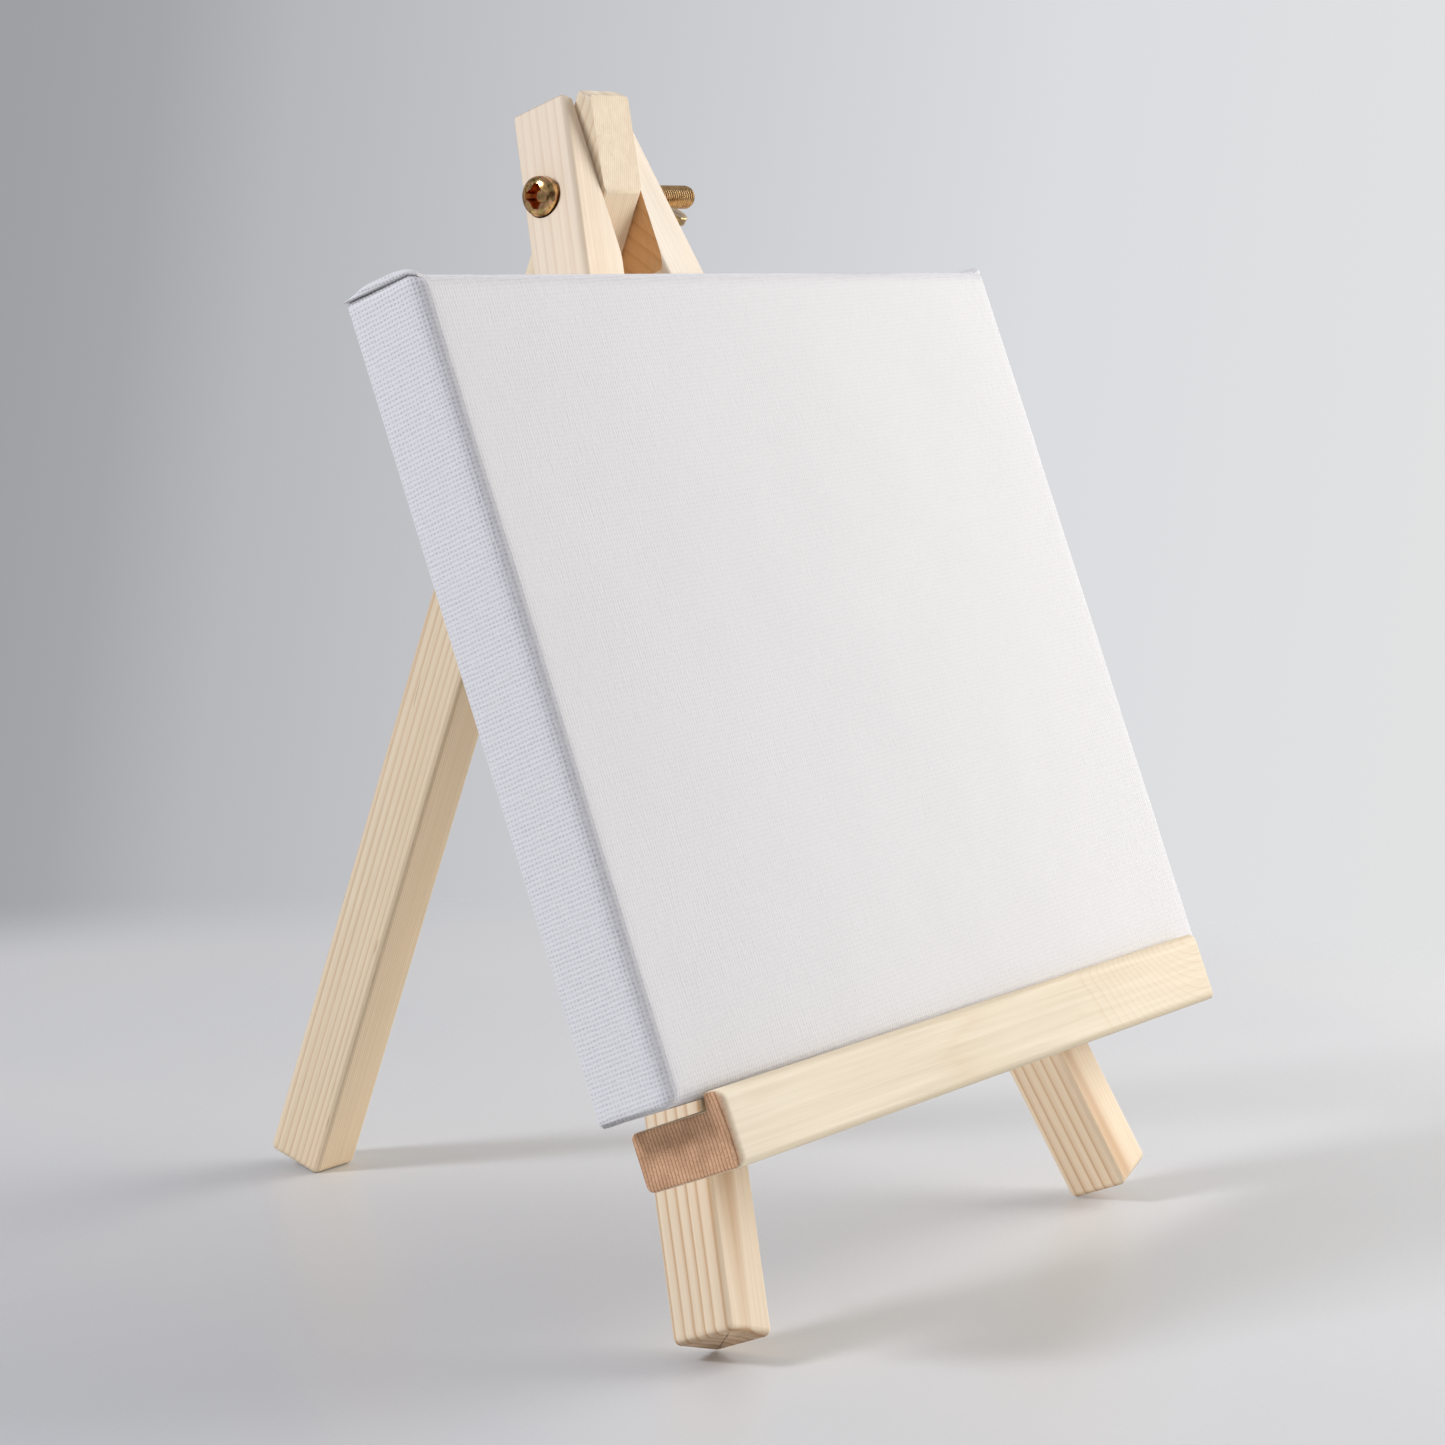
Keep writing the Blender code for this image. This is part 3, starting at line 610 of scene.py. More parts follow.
def smooth_step(value):
    """0 to 1 with a soft start and end, as `value` goes 0 to 1."""
    value = min(1.0, max(0.0, value))
    return value * value * (3.0 - 2.0 * value)


# ---- wood

def bolt_bore(name, profile, x):
    """Cutter turned about the bolt's axis, `x` along it."""
    return loose(name, turned(profile, 48), BOLT_AXES @ Matrix.Translation((0.0, 0.0, x)))


def leg_bore(side):
    """Cutter for a front leg: a clearance bore with a sunk seat."""
    reach = 40.0 * MM
    if side == LEFT:
        pocket = HEAD_R + GAP
        profile = [(0.0, -reach), (pocket, -reach), (pocket, GAP), (LEG_BORE_R, GAP)]
        profile += [(LEG_BORE_R, HEAD_SEAT), (0.0, HEAD_SEAT)]
        return bolt_bore("left_bore", profile, -HEAD_SEAT)
    pocket = WASHER_R + GAP
    profile = [(0.0, -WASHER_SEAT), (LEG_BORE_R, -WASHER_SEAT), (LEG_BORE_R, -GAP)]
    profile += [(pocket, -GAP), (pocket, reach), (0.0, reach)]
    return bolt_bore("right_bore", profile, WASHER_SEAT)


def front_leg(name, side, node, material, sawn_and_bounce_material):
    """Front leg, square cut at both ends, its inner side sawn upright beside the rear leg."""
    axes = front_leg_axes(side)
    inner = -side * STOCK
    section = section_points(min(0.0, inner), max(0.0, inner), -STOCK, 0.0)
    bm = rounded_bar(
        section, -FOOT_DROP, FRONT_LEG_LENGTH, lambda normal: FOOT_ROUND,
        lambda normal: TOP_ROUND, lambda x, z, y: (x, y, z),
    )
    to_leg = axes.inverted() @ FRAME_AXES
    sawn = side * (STOCK / 2.0 + LEG_SIDE_GAP)
    saw(bm, to_leg @ Vector((sawn, PIVOT_UP, 0.0)), to_leg.to_3x3() @ Vector((-side, 0, 0)))
    leg = loose(name, bm, axes)
    carve(leg, leg_bore(side))
    piece(leg, "frame", [node], "pine", material, sawn_and_bounce_material)
    # The sawn inner faces take the second material, whose orange is partly painted bounce light.
    square_on = 0.99
    for face in leg.data.polygons:
        if face.normal.x * -side > square_on:
            face.material_index = 1


def rear_leg(material):
    """Rear leg with a bevelled top, its origin on the bolt's axis."""
    section = section_points(-STOCK / 2.0, STOCK / 2.0, PIVOT_BACK - STOCK, PIVOT_BACK)
    bm = rounded_bar(
        section, -REAR_LEG_BELOW - FOOT_DROP, REAR_LEG_ABOVE_PIVOT, lambda normal: FOOT_ROUND,
        lambda normal: TOP_ROUND, lambda x, z, y: (x, y, z),
    )
    normal = Vector((0.0, math.sin(REAR_TOP_BEVEL), math.cos(REAR_TOP_BEVEL)))
    saw(bm, Vector((0.0, REAR_BEVEL_START, PIVOT_BACK)), normal)
    leg = loose("rear_leg_wood", bm, REAR_AXES)
    bore = [(0.0, -STOCK), (PIVOT_BORE_R, -STOCK), (PIVOT_BORE_R, STOCK), (0.0, STOCK)]
    carve(leg, bolt_bore("rear_bore", bore, 0.0))
    piece(leg, "rear_leg", ["rear_leg"], "pine", material)


def ledge(material):
    """The rebated bar across the front legs."""
    back, front = GAP, GAP + LEDGE_DEPTH
    top = LEDGE_BOTTOM + LEDGE_FRONT_HEIGHT
    r = LEDGE_EDGE_RADIUS
    outline = arc(r, (back + r, LEDGE_BOTTOM + r), 180.0, 270.0, 5)
    outline += arc(r, (front - r, LEDGE_BOTTOM + r), 270.0, 360.0, 5)
    outline += arc(LIP_TOP_RADIUS, (front - LIP_TOP_RADIUS, top - LIP_TOP_RADIUS), 0.0, 78.0, 6)
    r = LIP_BACK_RADIUS
    outline += arc(r, (front - LIP_THICK + r, top - r), 90.0, 180.0, 3)
    outline.append((front - LIP_THICK, LEDGE_FLOOR))
    r = LEDGE_BACK_RADIUS
    outline += arc(r, (back + r, LEDGE_FLOOR - r), 90.0, 180.0, 4)
    half = LEDGE_LENGTH / 2.0

    def end_round(normal):
        return LEDGE_END_ROUND + (LEDGE_FACE_ROUND - LEDGE_END_ROUND) * max(0.0, normal.x) ** 2

    bm = rounded_bar(
        outline, -half, half, end_round, end_round, lambda out, up, x: (x, up, out),
        steps=6, stretch=END_STRETCH,
    )
    bar = loose("ledge_wood", bm, FRAME_AXES)
    piece(bar, "frame", ["ledge"], "pine", material)


# ---- hardware

def cross_cutter(axes, head_z, span, width, depth):
    """Tapered cross recess. Its wide end is outside the head, at -Z, its narrow end inside it."""
    bm = bmesh.new()
    clear, wide_share, narrow_share = 0.3 * MM, 1.12, 0.42
    rings = []
    for z, grow in ((head_z - clear, wide_share), (head_z + depth, narrow_share)):
        ring = []
        for quarter in range(4):
            turn = Matrix.Rotation(quarter * math.pi / 2.0, 3, "Z")
            half, thin = span / 2.0 * grow, width / 2.0 * (0.55 + 0.45 * grow)
            for x, y in ((half, -thin * 0.6), (half, thin * 0.6), (thin * 1.45, thin * 1.45)):
                ring.append(bm.verts.new(turn @ Vector((x, y, z))))
        rings.append(ring)
    loft(bm, rings)
    outward(bm)
    return loose("recess", bm, axes)


def head_profile(radius, flank, height, shank):
    """Half outline of a pan head from its crown, at -Z, to the shank, its rim softly rounded."""
    rim = 0.45 * MM
    points = [(0.0, -height)]
    crown = arc(1.0, (0.0, 0.0), 90.0, 22.0, 12)
    for x, y in crown[1:]:
        points.append((x * (radius - rim * 0.2), -(flank + (height - flank) * y)))
    edge = arc(rim, (radius - rim, flank - rim * 0.3), 20.0, 0.0, 3)
    points += [(x, -z) for x, z in edge]
    points += [(radius, -0.25 * MM), (radius - 0.2 * MM, 0.0), (shank, 0.0)]
    return points


def pivot_bolt(material, recess_material, thread_material):
    """Pan-head bolt: plain shank inside the legs, a rolled thread outside."""
    profile = head_profile(HEAD_R, HEAD_FLANK, HEAD_HEIGHT, BOLT_R)
    thread_from = THREAD_START + HEAD_SEAT
    profile += [(BOLT_R, thread_from - 0.3 * MM), (BOLT_ROOT_R, thread_from), (0.0, thread_from)]
    seat = BOLT_AXES @ Matrix.Translation((0, 0, -HEAD_SEAT))
    body = loose("pivot_bolt_body", turned(profile, 96), seat)
    carve(body, cross_cutter(seat, -HEAD_HEIGHT, RECESS_SPAN, RECESS_WIDTH, RECESS_DEPTH))
    thread = bmesh.new()
    around, per_turn = 64, 12
    start, stop = THREAD_START - 0.2 * MM, BOLT_TIP
    rows = int((stop - start) / THREAD_PITCH * per_turn)
    rings = []
    for row in range(rows + 1):
        z = start + (stop - start) * row / rows
        ring = []
        for index in range(around):
            turn = 2.0 * math.pi * index / around
            phase = (z / THREAD_PITCH - index / around) % 1.0
            flank = 1.0 - abs(2.0 * phase - 1.0)
            ridge = min(1.0, max(0.0, 1.35 * flank - 0.12))
            radius = BOLT_ROOT_R + (BOLT_R - BOLT_ROOT_R) * ridge
            from_tip = (stop - z) / TIP_ROUND
            if from_tip < 1.0:
                radius = min(radius, BOLT_R * math.sqrt(max(0.0, 1.0 - (1.0 - from_tip) ** 2)))
            ring.append(thread.verts.new((radius * math.cos(turn), radius * math.sin(turn), z)))
        rings.append(ring)
    loft(thread, rings)
    bmesh.ops.remove_doubles(thread, verts=thread.verts, dist=0.002 * MM)
    outward(thread)
    threaded = loose("pivot_bolt_thread", thread, BOLT_AXES)
    piece(threaded, "frame", [], "yellow_zinc", thread_material)
    threaded.modifiers.clear()
    threaded.data.set_sharp_from_angle(angle=math.radians(180.0))
    piece(body, "frame", ["pivot_bolt"], "yellow_zinc", material, recess_material)
    to_bolt = BOLT_AXES.inverted()
    crown_facing = -0.85
    for face in body.data.polygons:
        spot = to_bolt @ face.center
        inside = spot.z < -HEAD_SEAT and math.hypot(spot.x, spot.y) < RECESS_SPAN / 2.0
        if inside and (to_bolt.to_3x3() @ face.normal).z > crown_facing:
            face.material_index = 1


def washer(material):
    """Flat washer with stamped, slightly rounded edges."""
    r = WASHER_ROUND
    inner, outer, top = BOLT_R + GAP + r, WASHER_R - r, WASHER_THICK - r
    outline = []
    for centre, start in (
        ((outer, r), -90.0), ((outer, top), 0.0), ((inner, top), 90.0), ((inner, r), 180.0),
    ):
        outline += arc(r, centre, start, start + 90.0, 3)
    bm = bmesh.new()
    rings = []
    around = 72
    for index in range(around):
        spin = Matrix.Rotation(2.0 * math.pi * index / around, 3, "Z")
        rings.append([bm.verts.new(spin @ Vector((x, 0.0, z))) for x, z in outline])
    for index, ring in enumerate(rings):
        after = rings[(index + 1) % around]
        for corner in range(len(outline)):
            beside = (corner + 1) % len(outline)
            bm.faces.new((ring[corner], ring[beside], after[beside], after[corner]))
    outward(bm)
    ring = loose("washer_plate", bm, BOLT_AXES @ Matrix.Translation((0, 0, WASHER_SEAT)))
    piece(ring, "washer", ["nut_washer"], "yellow_zinc", material)


def wing_outline():
    """Both wings in one plate: flared ears with round tips, joined across the hub."""
    centre = (WING_SPAN / 2.0 - WING_INSET - WING_TIP_R, WING_TOP - WING_TIP_R)
    half = [(2.6 * MM, 0.6 * MM), (4.4 * MM, 0.6 * MM), (7.0 * MM, 3.2 * MM)]
    half += arc(WING_TIP_R, centre, -40.0, 150.0, 14)
    half += [(4.0 * MM, 4.8 * MM), (2.6 * MM, 4.6 * MM)]
    return half + [(-x, z) for x, z in reversed(half)]


def wing_nut(material):
    """Cast wing nut: hub and wings fused, then softened like a casting, with a plain bore."""
    base = WASHER_SEAT + WASHER_THICK + GAP
    axes = BOLT_AXES @ Matrix.Translation((0, 0, base)) @ Matrix.Rotation(WING_TURN, 4, "Z")
    hub = [(0.0, 0.0), (NUT_BASE_R, 0.0), (NUT_BASE_R, NUT_FLANGE)]
    hub += [(NUT_TOP_R, NUT_HEIGHT), (0.0, NUT_HEIGHT)]
    nut = loose("wing_nut_cast", turned(hub, 64), axes)
    outline = [(x, -WING_THICK / 2.0, z) for x, z in wing_outline()]
    plate = extruded(outline, (0.0, WING_THICK, 0.0))
    wings = loose("wings", plate, axes)
    carve(nut, wings, "UNION")
    remesh = nut.modifiers.new("cast", "REMESH")
    remesh.mode = "VOXEL"
    remesh.voxel_size = CAST_VOXEL
    soften = nut.modifiers.new("soften", "SMOOTH")
    soften.factor = 0.6
    soften.iterations = 5
    settle(nut)
    reach = 15.0 * MM
    bore = [(0.0, -reach), (PIVOT_BORE_R, -reach), (PIVOT_BORE_R, reach), (0.0, reach)]
    carve(nut, loose("nut_bore", turned(bore, 48), axes))
    piece(nut, "wing_nut", ["wing_nut"], "yellow_zinc", material)


def ledge_screw(name, side, node, material):
    """Round-head wood screw behind a front leg."""
    up = (LEDGE_BOTTOM + LEDGE_FLOOR) / 2.0
    outer = FRONT_FOOT_OUT - (up - FRONT_FOOT_UP) * math.tan(FRONT_SPLAY)
    across = outer - STOCK / 2.0 / math.cos(FRONT_SPLAY)
    axes = FRAME_AXES @ Matrix.Translation((side * across, up, -STOCK - GAP))
    profile = head_profile(SCREW_HEAD_R, SCREW_HEAD_FLANK, SCREW_HEAD_HEIGHT, SCREW_SHANK_R)
    profile += [(SCREW_SHANK_R, SCREW_LENGTH - SCREW_POINT), (0.0, SCREW_LENGTH)]
    screw = loose(name, turned(profile, 48), axes)
    carve(screw, cross_cutter(axes, -SCREW_HEAD_HEIGHT, *SCREW_RECESS))
    piece(screw, "frame", [node], "yellow_zinc", material)


# ---- canvas

WARP_PITCH = 0.79 * MM
WEFT_PITCH = 0.84 * MM
WEFT_SKEW = math.tan(math.radians(2.5))
FRONT_STEPS_X, FRONT_STEPS_Y = 80, 60
CORNER_STEPS = 5
HALF_X = CANVAS_WIDTH / 2.0 - EDGE_ROUND
HALF_Y = CANVAS_HEIGHT / 2.0 - EDGE_ROUND


def wrap_rows():
    """Path of the cloth from the front's edge round to the flap: (out, depth, run) per row.

    Out is measured from the front panel's inset rectangle, run is the length of cloth used.
    """
    rows = []
    high = CANVAS_DEPTH
    run = 0.0
    previous = (0.0, high)
    path = arc(EDGE_ROUND, (0.0, high - EDGE_ROUND), 90.0, 0.0, 8)
    side_high, side_low, side_steps = high - EDGE_ROUND, BACK_ROUND, 9
    for step in range(1, side_steps):
        path.append((EDGE_ROUND, side_high + (side_low - side_high) * step / side_steps))
    path += arc(BACK_ROUND, (EDGE_ROUND - BACK_ROUND, BACK_ROUND), 0.0, -90.0, 5)
    flap_start, flap_end, flap_steps = EDGE_ROUND - BACK_ROUND, EDGE_ROUND - FLAP, 6
    for step in range(1, flap_steps + 1):
        path.append((flap_start + (flap_end - flap_start) * step / flap_steps, 0.0))
    for point in path:
        run += math.hypot(point[0] - previous[0], point[1] - previous[1])
        previous = point
        rows.append((point[0], point[1], run))
    return rows


def rim_points(out):
    """Rounded rectangle `out` beyond the front's inset rectangle, with its outward ways.

    Inward of that rectangle the four flaps end at the mitres, each side on points of its own.
    """
    spots = []
    sides = (
        (Vector((-HALF_X, -HALF_Y)), 2.0 * HALF_X, FRONT_STEPS_X, -90.0),
        (Vector((HALF_X, -HALF_Y)), 2.0 * HALF_Y, FRONT_STEPS_Y, 0.0),
        (Vector((HALF_X, HALF_Y)), 2.0 * HALF_X, FRONT_STEPS_X, 90.0),
        (Vector((-HALF_X, HALF_Y)), 2.0 * HALF_Y, FRONT_STEPS_Y, 180.0),
    )
    cut = MITRE_GAP - out if out < 0.0 else 0.0
    for start, length, steps, facing in sides:
        way = Vector((math.cos(math.radians(facing)), math.sin(math.radians(facing))))
        along = Vector((-way.y, way.x))
        stop = start + along * length
        for step in range(steps + 1):
            base = start + along * max(cut, min(length - cut, length * step / steps))
            spots.append((base + way * out, base, way))
        for step in range(1, CORNER_STEPS):
            own = step <= CORNER_STEPS / 2
            facing_way = way if own else along
            if out < 0.0:
                base = stop - (along if own else way) * cut
                spots.append((base + facing_way * out, base, facing_way))
                continue
            turn = math.radians(facing + 90.0 * step / CORNER_STEPS)
            way_round = Vector((math.cos(turn), math.sin(turn)))
            aside = way_round * out * (1.0 + 0.25 * math.sin(math.pi * step / CORNER_STEPS) ** 2)
            spot = stop + aside
            spots.append((spot, spot - facing_way * aside.dot(facing_way), facing_way))
    return spots


def canvas_cloth(front_material, raw_material):
    """Cloth wrapped round the bars, in the canvas's own axes.

    The flat coordinates of its threads are kept on its points. The flap is lifted until the
    staples press into it, and its raw edge is a little ragged.
    """
    bm = bmesh.new()
    flat = bm.verts.layers.float_vector.new("flat")
    rows = wrap_rows()
    rings = []
    for out, depth, run in rows[1:]:
        ring = []
        for spot, base, way in rim_points(out):
            vertex = bm.verts.new((spot.x, spot.y, depth))
            where = base + way * run
            vertex[flat] = Vector((where.x, where.y, 0.0))
            ring.append(vertex)
        rings.append(ring)
    grid = []
    for j in range(FRONT_STEPS_Y + 1):
        line = []
        for i in range(FRONT_STEPS_X + 1):
            x = -HALF_X + 2.0 * HALF_X * i / FRONT_STEPS_X
            y = -HALF_Y + 2.0 * HALF_Y * j / FRONT_STEPS_Y
            vertex = bm.verts.new((x, y, CANVAS_DEPTH))
            vertex[flat] = Vector((x, y, 0.0))
            line.append(vertex)
        grid.append(line)
    for j in range(FRONT_STEPS_Y):
        for i in range(FRONT_STEPS_X):
            bm.faces.new((grid[j][i], grid[j][i + 1], grid[j + 1][i + 1], grid[j + 1][i]))
    right, left = [line[-1] for line in grid], [line[0] for line in grid]
    border = []
    for edge in (grid[0], right, grid[-1][::-1], left[::-1]):
        border += edge + [edge[-1]] * (CORNER_STEPS - 1)
    for upper, lower in zip([border] + rings, rings):
        count = len(lower)
        for index in range(count):
            after = (index + 1) % count
            corners = list(dict.fromkeys((upper[index], lower[index], lower[after], upper[after])))
            places = {tuple(round(c, 8) for c in v.co) for v in corners}
            if len(corners) > 2 and len(places) > 2:
                bm.faces.new(corners)
    bmesh.ops.remove_doubles(bm, verts=bm.verts, dist=MITRE_GAP / 5.0)
    outward(bm)
    cloth = loose("canvas_cloth_wrap", bm, Matrix.Identity(4))
    for vertex in cloth.data.vertices:
        x, y, z = vertex.co
        wave = noise.noise(Vector((x, y, z)) * 22.0) + 0.5 * noise.noise(Vector((y, z, x)) * 60.0)
        away = min(1.0, max(0.0, (z - 1.0 * MM) / (4.0 * MM)))
        vertex.co += vertex.normal * wave * CLOTH_WAVE * away
        if z < CLOTH_FLAT:
            inward = min(CANVAS_WIDTH / 2.0 - abs(x), CANVAS_HEIGHT / 2.0 - abs(y))
            rise = smooth_step((inward - 0.5 * MM) / (1.5 * MM))
            vertex.co.z += CLOTH_OFF + STAPLE_PROUD * rise
            ragged = noise.noise(Vector((x, y, 7.0)) * 900.0) * RAGGED
            edge_x = CANVAS_WIDTH / 2.0 - FLAP
            edge_y = CANVAS_HEIGHT / 2.0 - FLAP
            if abs(x) <= edge_x + 0.5 * MM and abs(y) <= edge_y + 0.5 * MM:
                vertex.co.x += ragged * math.copysign(1.0, x) * (abs(x) > edge_x - 0.5 * MM)
                vertex.co.y += ragged * math.copysign(1.0, y) * (abs(y) > edge_y - 0.5 * MM)
    thick = cloth.modifiers.new("thick", "SOLIDIFY")
    thick.thickness = CLOTH
    thick.offset = -1.0
    thick.use_rim = True
    thick.material_offset = 1
    thick.material_offset_rim = 1
    cloth.data.materials.append(front_material)
    cloth.data.materials.append(raw_material)
    settle(cloth)
    return cloth


def corner_fold(name, side, materials):
    """Folded corner on the top side: a pocket lying flat, its standing crease at the end."""
    bm = bmesh.new()
    flat = bm.verts.layers.float_vector.new("flat")
    half_x, half_y = CANVAS_WIDTH / 2.0, CANVAS_HEIGHT / 2.0
    steps_d, steps_l = 20, 16
    first, last = -0.35 * MM, CANVAS_DEPTH - 0.75 * MM
    rings = []
    for k in range(steps_d + 1):
        share = k / steps_d
        depth = first + (last - first) * share
        round_in = max(0.0, depth - CANVAS_DEPTH + EDGE_ROUND)
        drop = EDGE_ROUND - math.sqrt(EDGE_ROUND ** 2 - round_in ** 2)
        lift = (0.30 + 1.15 * smooth_step(share / 0.4)) * MM
        lift *= 1.0 - 0.35 * smooth_step((share - 0.7) / 0.3)
        thin = 0.5 * MM * (1.0 - smooth_step((share - 0.25) / 0.4))
        proud = 0.12 * MM + 0.18 * MM * smooth_step(share / 0.3)
        r = min(0.42 * MM, lift * 0.45)
        profile = []
        for step in range(steps_l + 1):
            x = FOLD_LENGTH * (1.0 - step / steps_l) ** 1.8
            fall = max(0.0, 1.0 - x / FOLD_BULGE) ** 2
            profile.append((x + r - proud, thin + (lift - thin) * fall))
        profile += arc(r, (r - proud, lift - r), 90.0, 180.0, 5)[1:]
        profile += [(-proud, 0.24 * MM), (0.08 * MM - proud, 0.13 * MM), (0.28 * MM, 0.05 * MM)]
        profile += [(FOLD_LENGTH * 0.5, -0.1 * MM), (FOLD_LENGTH + r - proud, -0.1 * MM)]
        ring = []
        for x, y in profile:
            across, up = half_x - 0.10 * MM - x - drop, half_y - 0.02 * MM + y - drop
            vertex = bm.verts.new((side * across, up, depth))
            vertex[flat] = Vector((side * (half_x + 6.0 * MM + depth), half_y - x + y, 0.0))
            ring.append(vertex)
        rings.append(ring)
    loft(bm, rings)
    outward(bm)
    fold = loose(name, bm, Matrix.Identity(4))
    for material in materials:
        fold.data.materials.append(material)
    return fold


def join(target, others):
    """Join objects into one mesh."""
    chosen = [target, *others]
    with bpy.context.temp_override(
        active_object=target, object=target,
        selected_objects=chosen, selected_editable_objects=chosen,
    ):
        bpy.ops.object.join()


def dress(name, material, modifier, width, segments):
    """A node that keeps its own shape, with eased edges."""
    node = frame["nodes"][name]
    node.data.materials.clear()
    node.data.materials.append(material)
    edges = node.modifiers.new(modifier, "BEVEL")
    edges.width = width
    edges.segments = segments
    edges.limit_method = "ANGLE"
    edges.angle_limit = math.radians(40.0)


# ---- stage

CAMERA_AT = Vector((-0.67496, -0.44988, 0.20681))
CAMERA_YAW = math.radians(57.61)
CAMERA_PITCH = math.radians(-7.47)
CAMERA_ROLL = math.radians(0.81)
CAMERA_LENS = 103.38
VIEW_FORWARD = Vector((math.sin(CAMERA_YAW), math.cos(CAMERA_YAW), 0.0))
VIEW_RIGHT = Vector((math.cos(CAMERA_YAW), -math.sin(CAMERA_YAW), 0.0))
LIGHTS_AIM = Vector((0.0, 0.0, 0.1))
ROOM_LIGHT = (0.33, 0.33, 0.35)
BACKDROP = (
    (0.0, (159, 160, 164)), (0.08, (165, 166, 170)), (0.17, (182, 183, 187)),
    (0.34, (196, 197, 201)), (0.68, (219, 220, 223)), (0.86, (223, 224, 226)),
    (1.0, (225, 226, 226)),
)
FLOOR_SOLID = 0.305
FLOOR_GONE = 0.40


def camera():
    """Camera at the photo's angle."""
    level = VIEW_FORWARD * math.cos(CAMERA_PITCH)
    ahead = level + Vector((0.0, 0.0, math.sin(CAMERA_PITCH)))
    up = VIEW_RIGHT.cross(ahead)
    right = VIEW_RIGHT * math.cos(CAMERA_ROLL) + up * math.sin(CAMERA_ROLL)
    top = up * math.cos(CAMERA_ROLL) - VIEW_RIGHT * math.sin(CAMERA_ROLL)
    data = bpy.data.cameras.new("camera")
    data.lens = CAMERA_LENS
    data.sensor_width = 36.0
    data.clip_start = 0.01
    obj = put("camera", data)
    turn = Matrix((right, top, -ahead)).transposed().to_4x4()
    obj.matrix_world = Matrix.Translation(CAMERA_AT) @ turn
    bpy.context.scene.camera = obj


def softbox(name, towards, distance, size, power, colour):
    """Square light at a distance from the easel's middle, facing it."""
    data = bpy.data.lights.new(name, "AREA")
    data.shape = "RECTANGLE"
    data.size = size
    data.size_y = size
    data.energy = power
    data.color = colour
    obj = put(name, data)
    way = Vector(towards).normalized()
    obj.location = LIGHTS_AIM + way * distance
    obj.rotation_mode = "QUATERNION"
    obj.rotation_quaternion = (-way).to_track_quat("-Z", "Y")


def grey(value):
    """Linear value of an sRGB level from 0 to 255."""
    share = value / 255.0
    return ((share + 0.055) / 1.055) ** 2.4


def room():
    """Plain studio backdrop behind the easel: grey paper, lit brighter on its right."""
    s = Shader("studio", world=True)
    bpy.context.scene.world = s.material
    place = s.node("ShaderNodeTexCoord").outputs["Generated"]

    def share(direction, low, high):
        return s.span(s.vector("DOT_PRODUCT", place, direction, result=1), low, high)

    across = share(VIEW_RIGHT - Vector((0.0, 0.0, 0.13)), -0.168, 0.188)
    paper = s.ramp(across, [
        (spot, tuple(grey(part) for part in level)) for spot, level in BACKDROP
    ])
    s.feed(s.surface.inputs["Color"], s.mix(share(VIEW_FORWARD, 0.3, 0.85), ROOM_LIGHT, paper))


def floor():
    """Round white sheet that fades into the backdrop, a hair below the feet."""
    bm = bmesh.new()
    bmesh.ops.create_circle(bm, cap_ends=True, radius=FLOOR_GONE + 0.01, segments=128)
    obj = loose("floor", bm, Matrix.Translation((0.0, 0.0, -0.02 * MM)))
    s = Shader("floor_white")
    here = s.object_place()
    cloud = s.noise(here, 9.0, 3.0, 0.5)
    colour = s.mix(s.span(cloud, 0.3, 0.7), (0.685, 0.69, 0.695), (0.71, 0.71, 0.705))
    fine = s.noise(here, 900.0, 2.0, 0.5)
    s.finish(colour, s.span(fine, 0.3, 0.7, 0.30, 0.42), s.bump(fine, 0.01 * MM, 0.3), specular=0.3)
    reach = s.vector("LENGTH", here, result=1)
    s.feed(s.surface.inputs["Alpha"], s.span(reach, FLOOR_SOLID, FLOOR_GONE, 1.0, 0.0, smooth=True))
    obj.data.materials.append(s.material)


# ---- put together

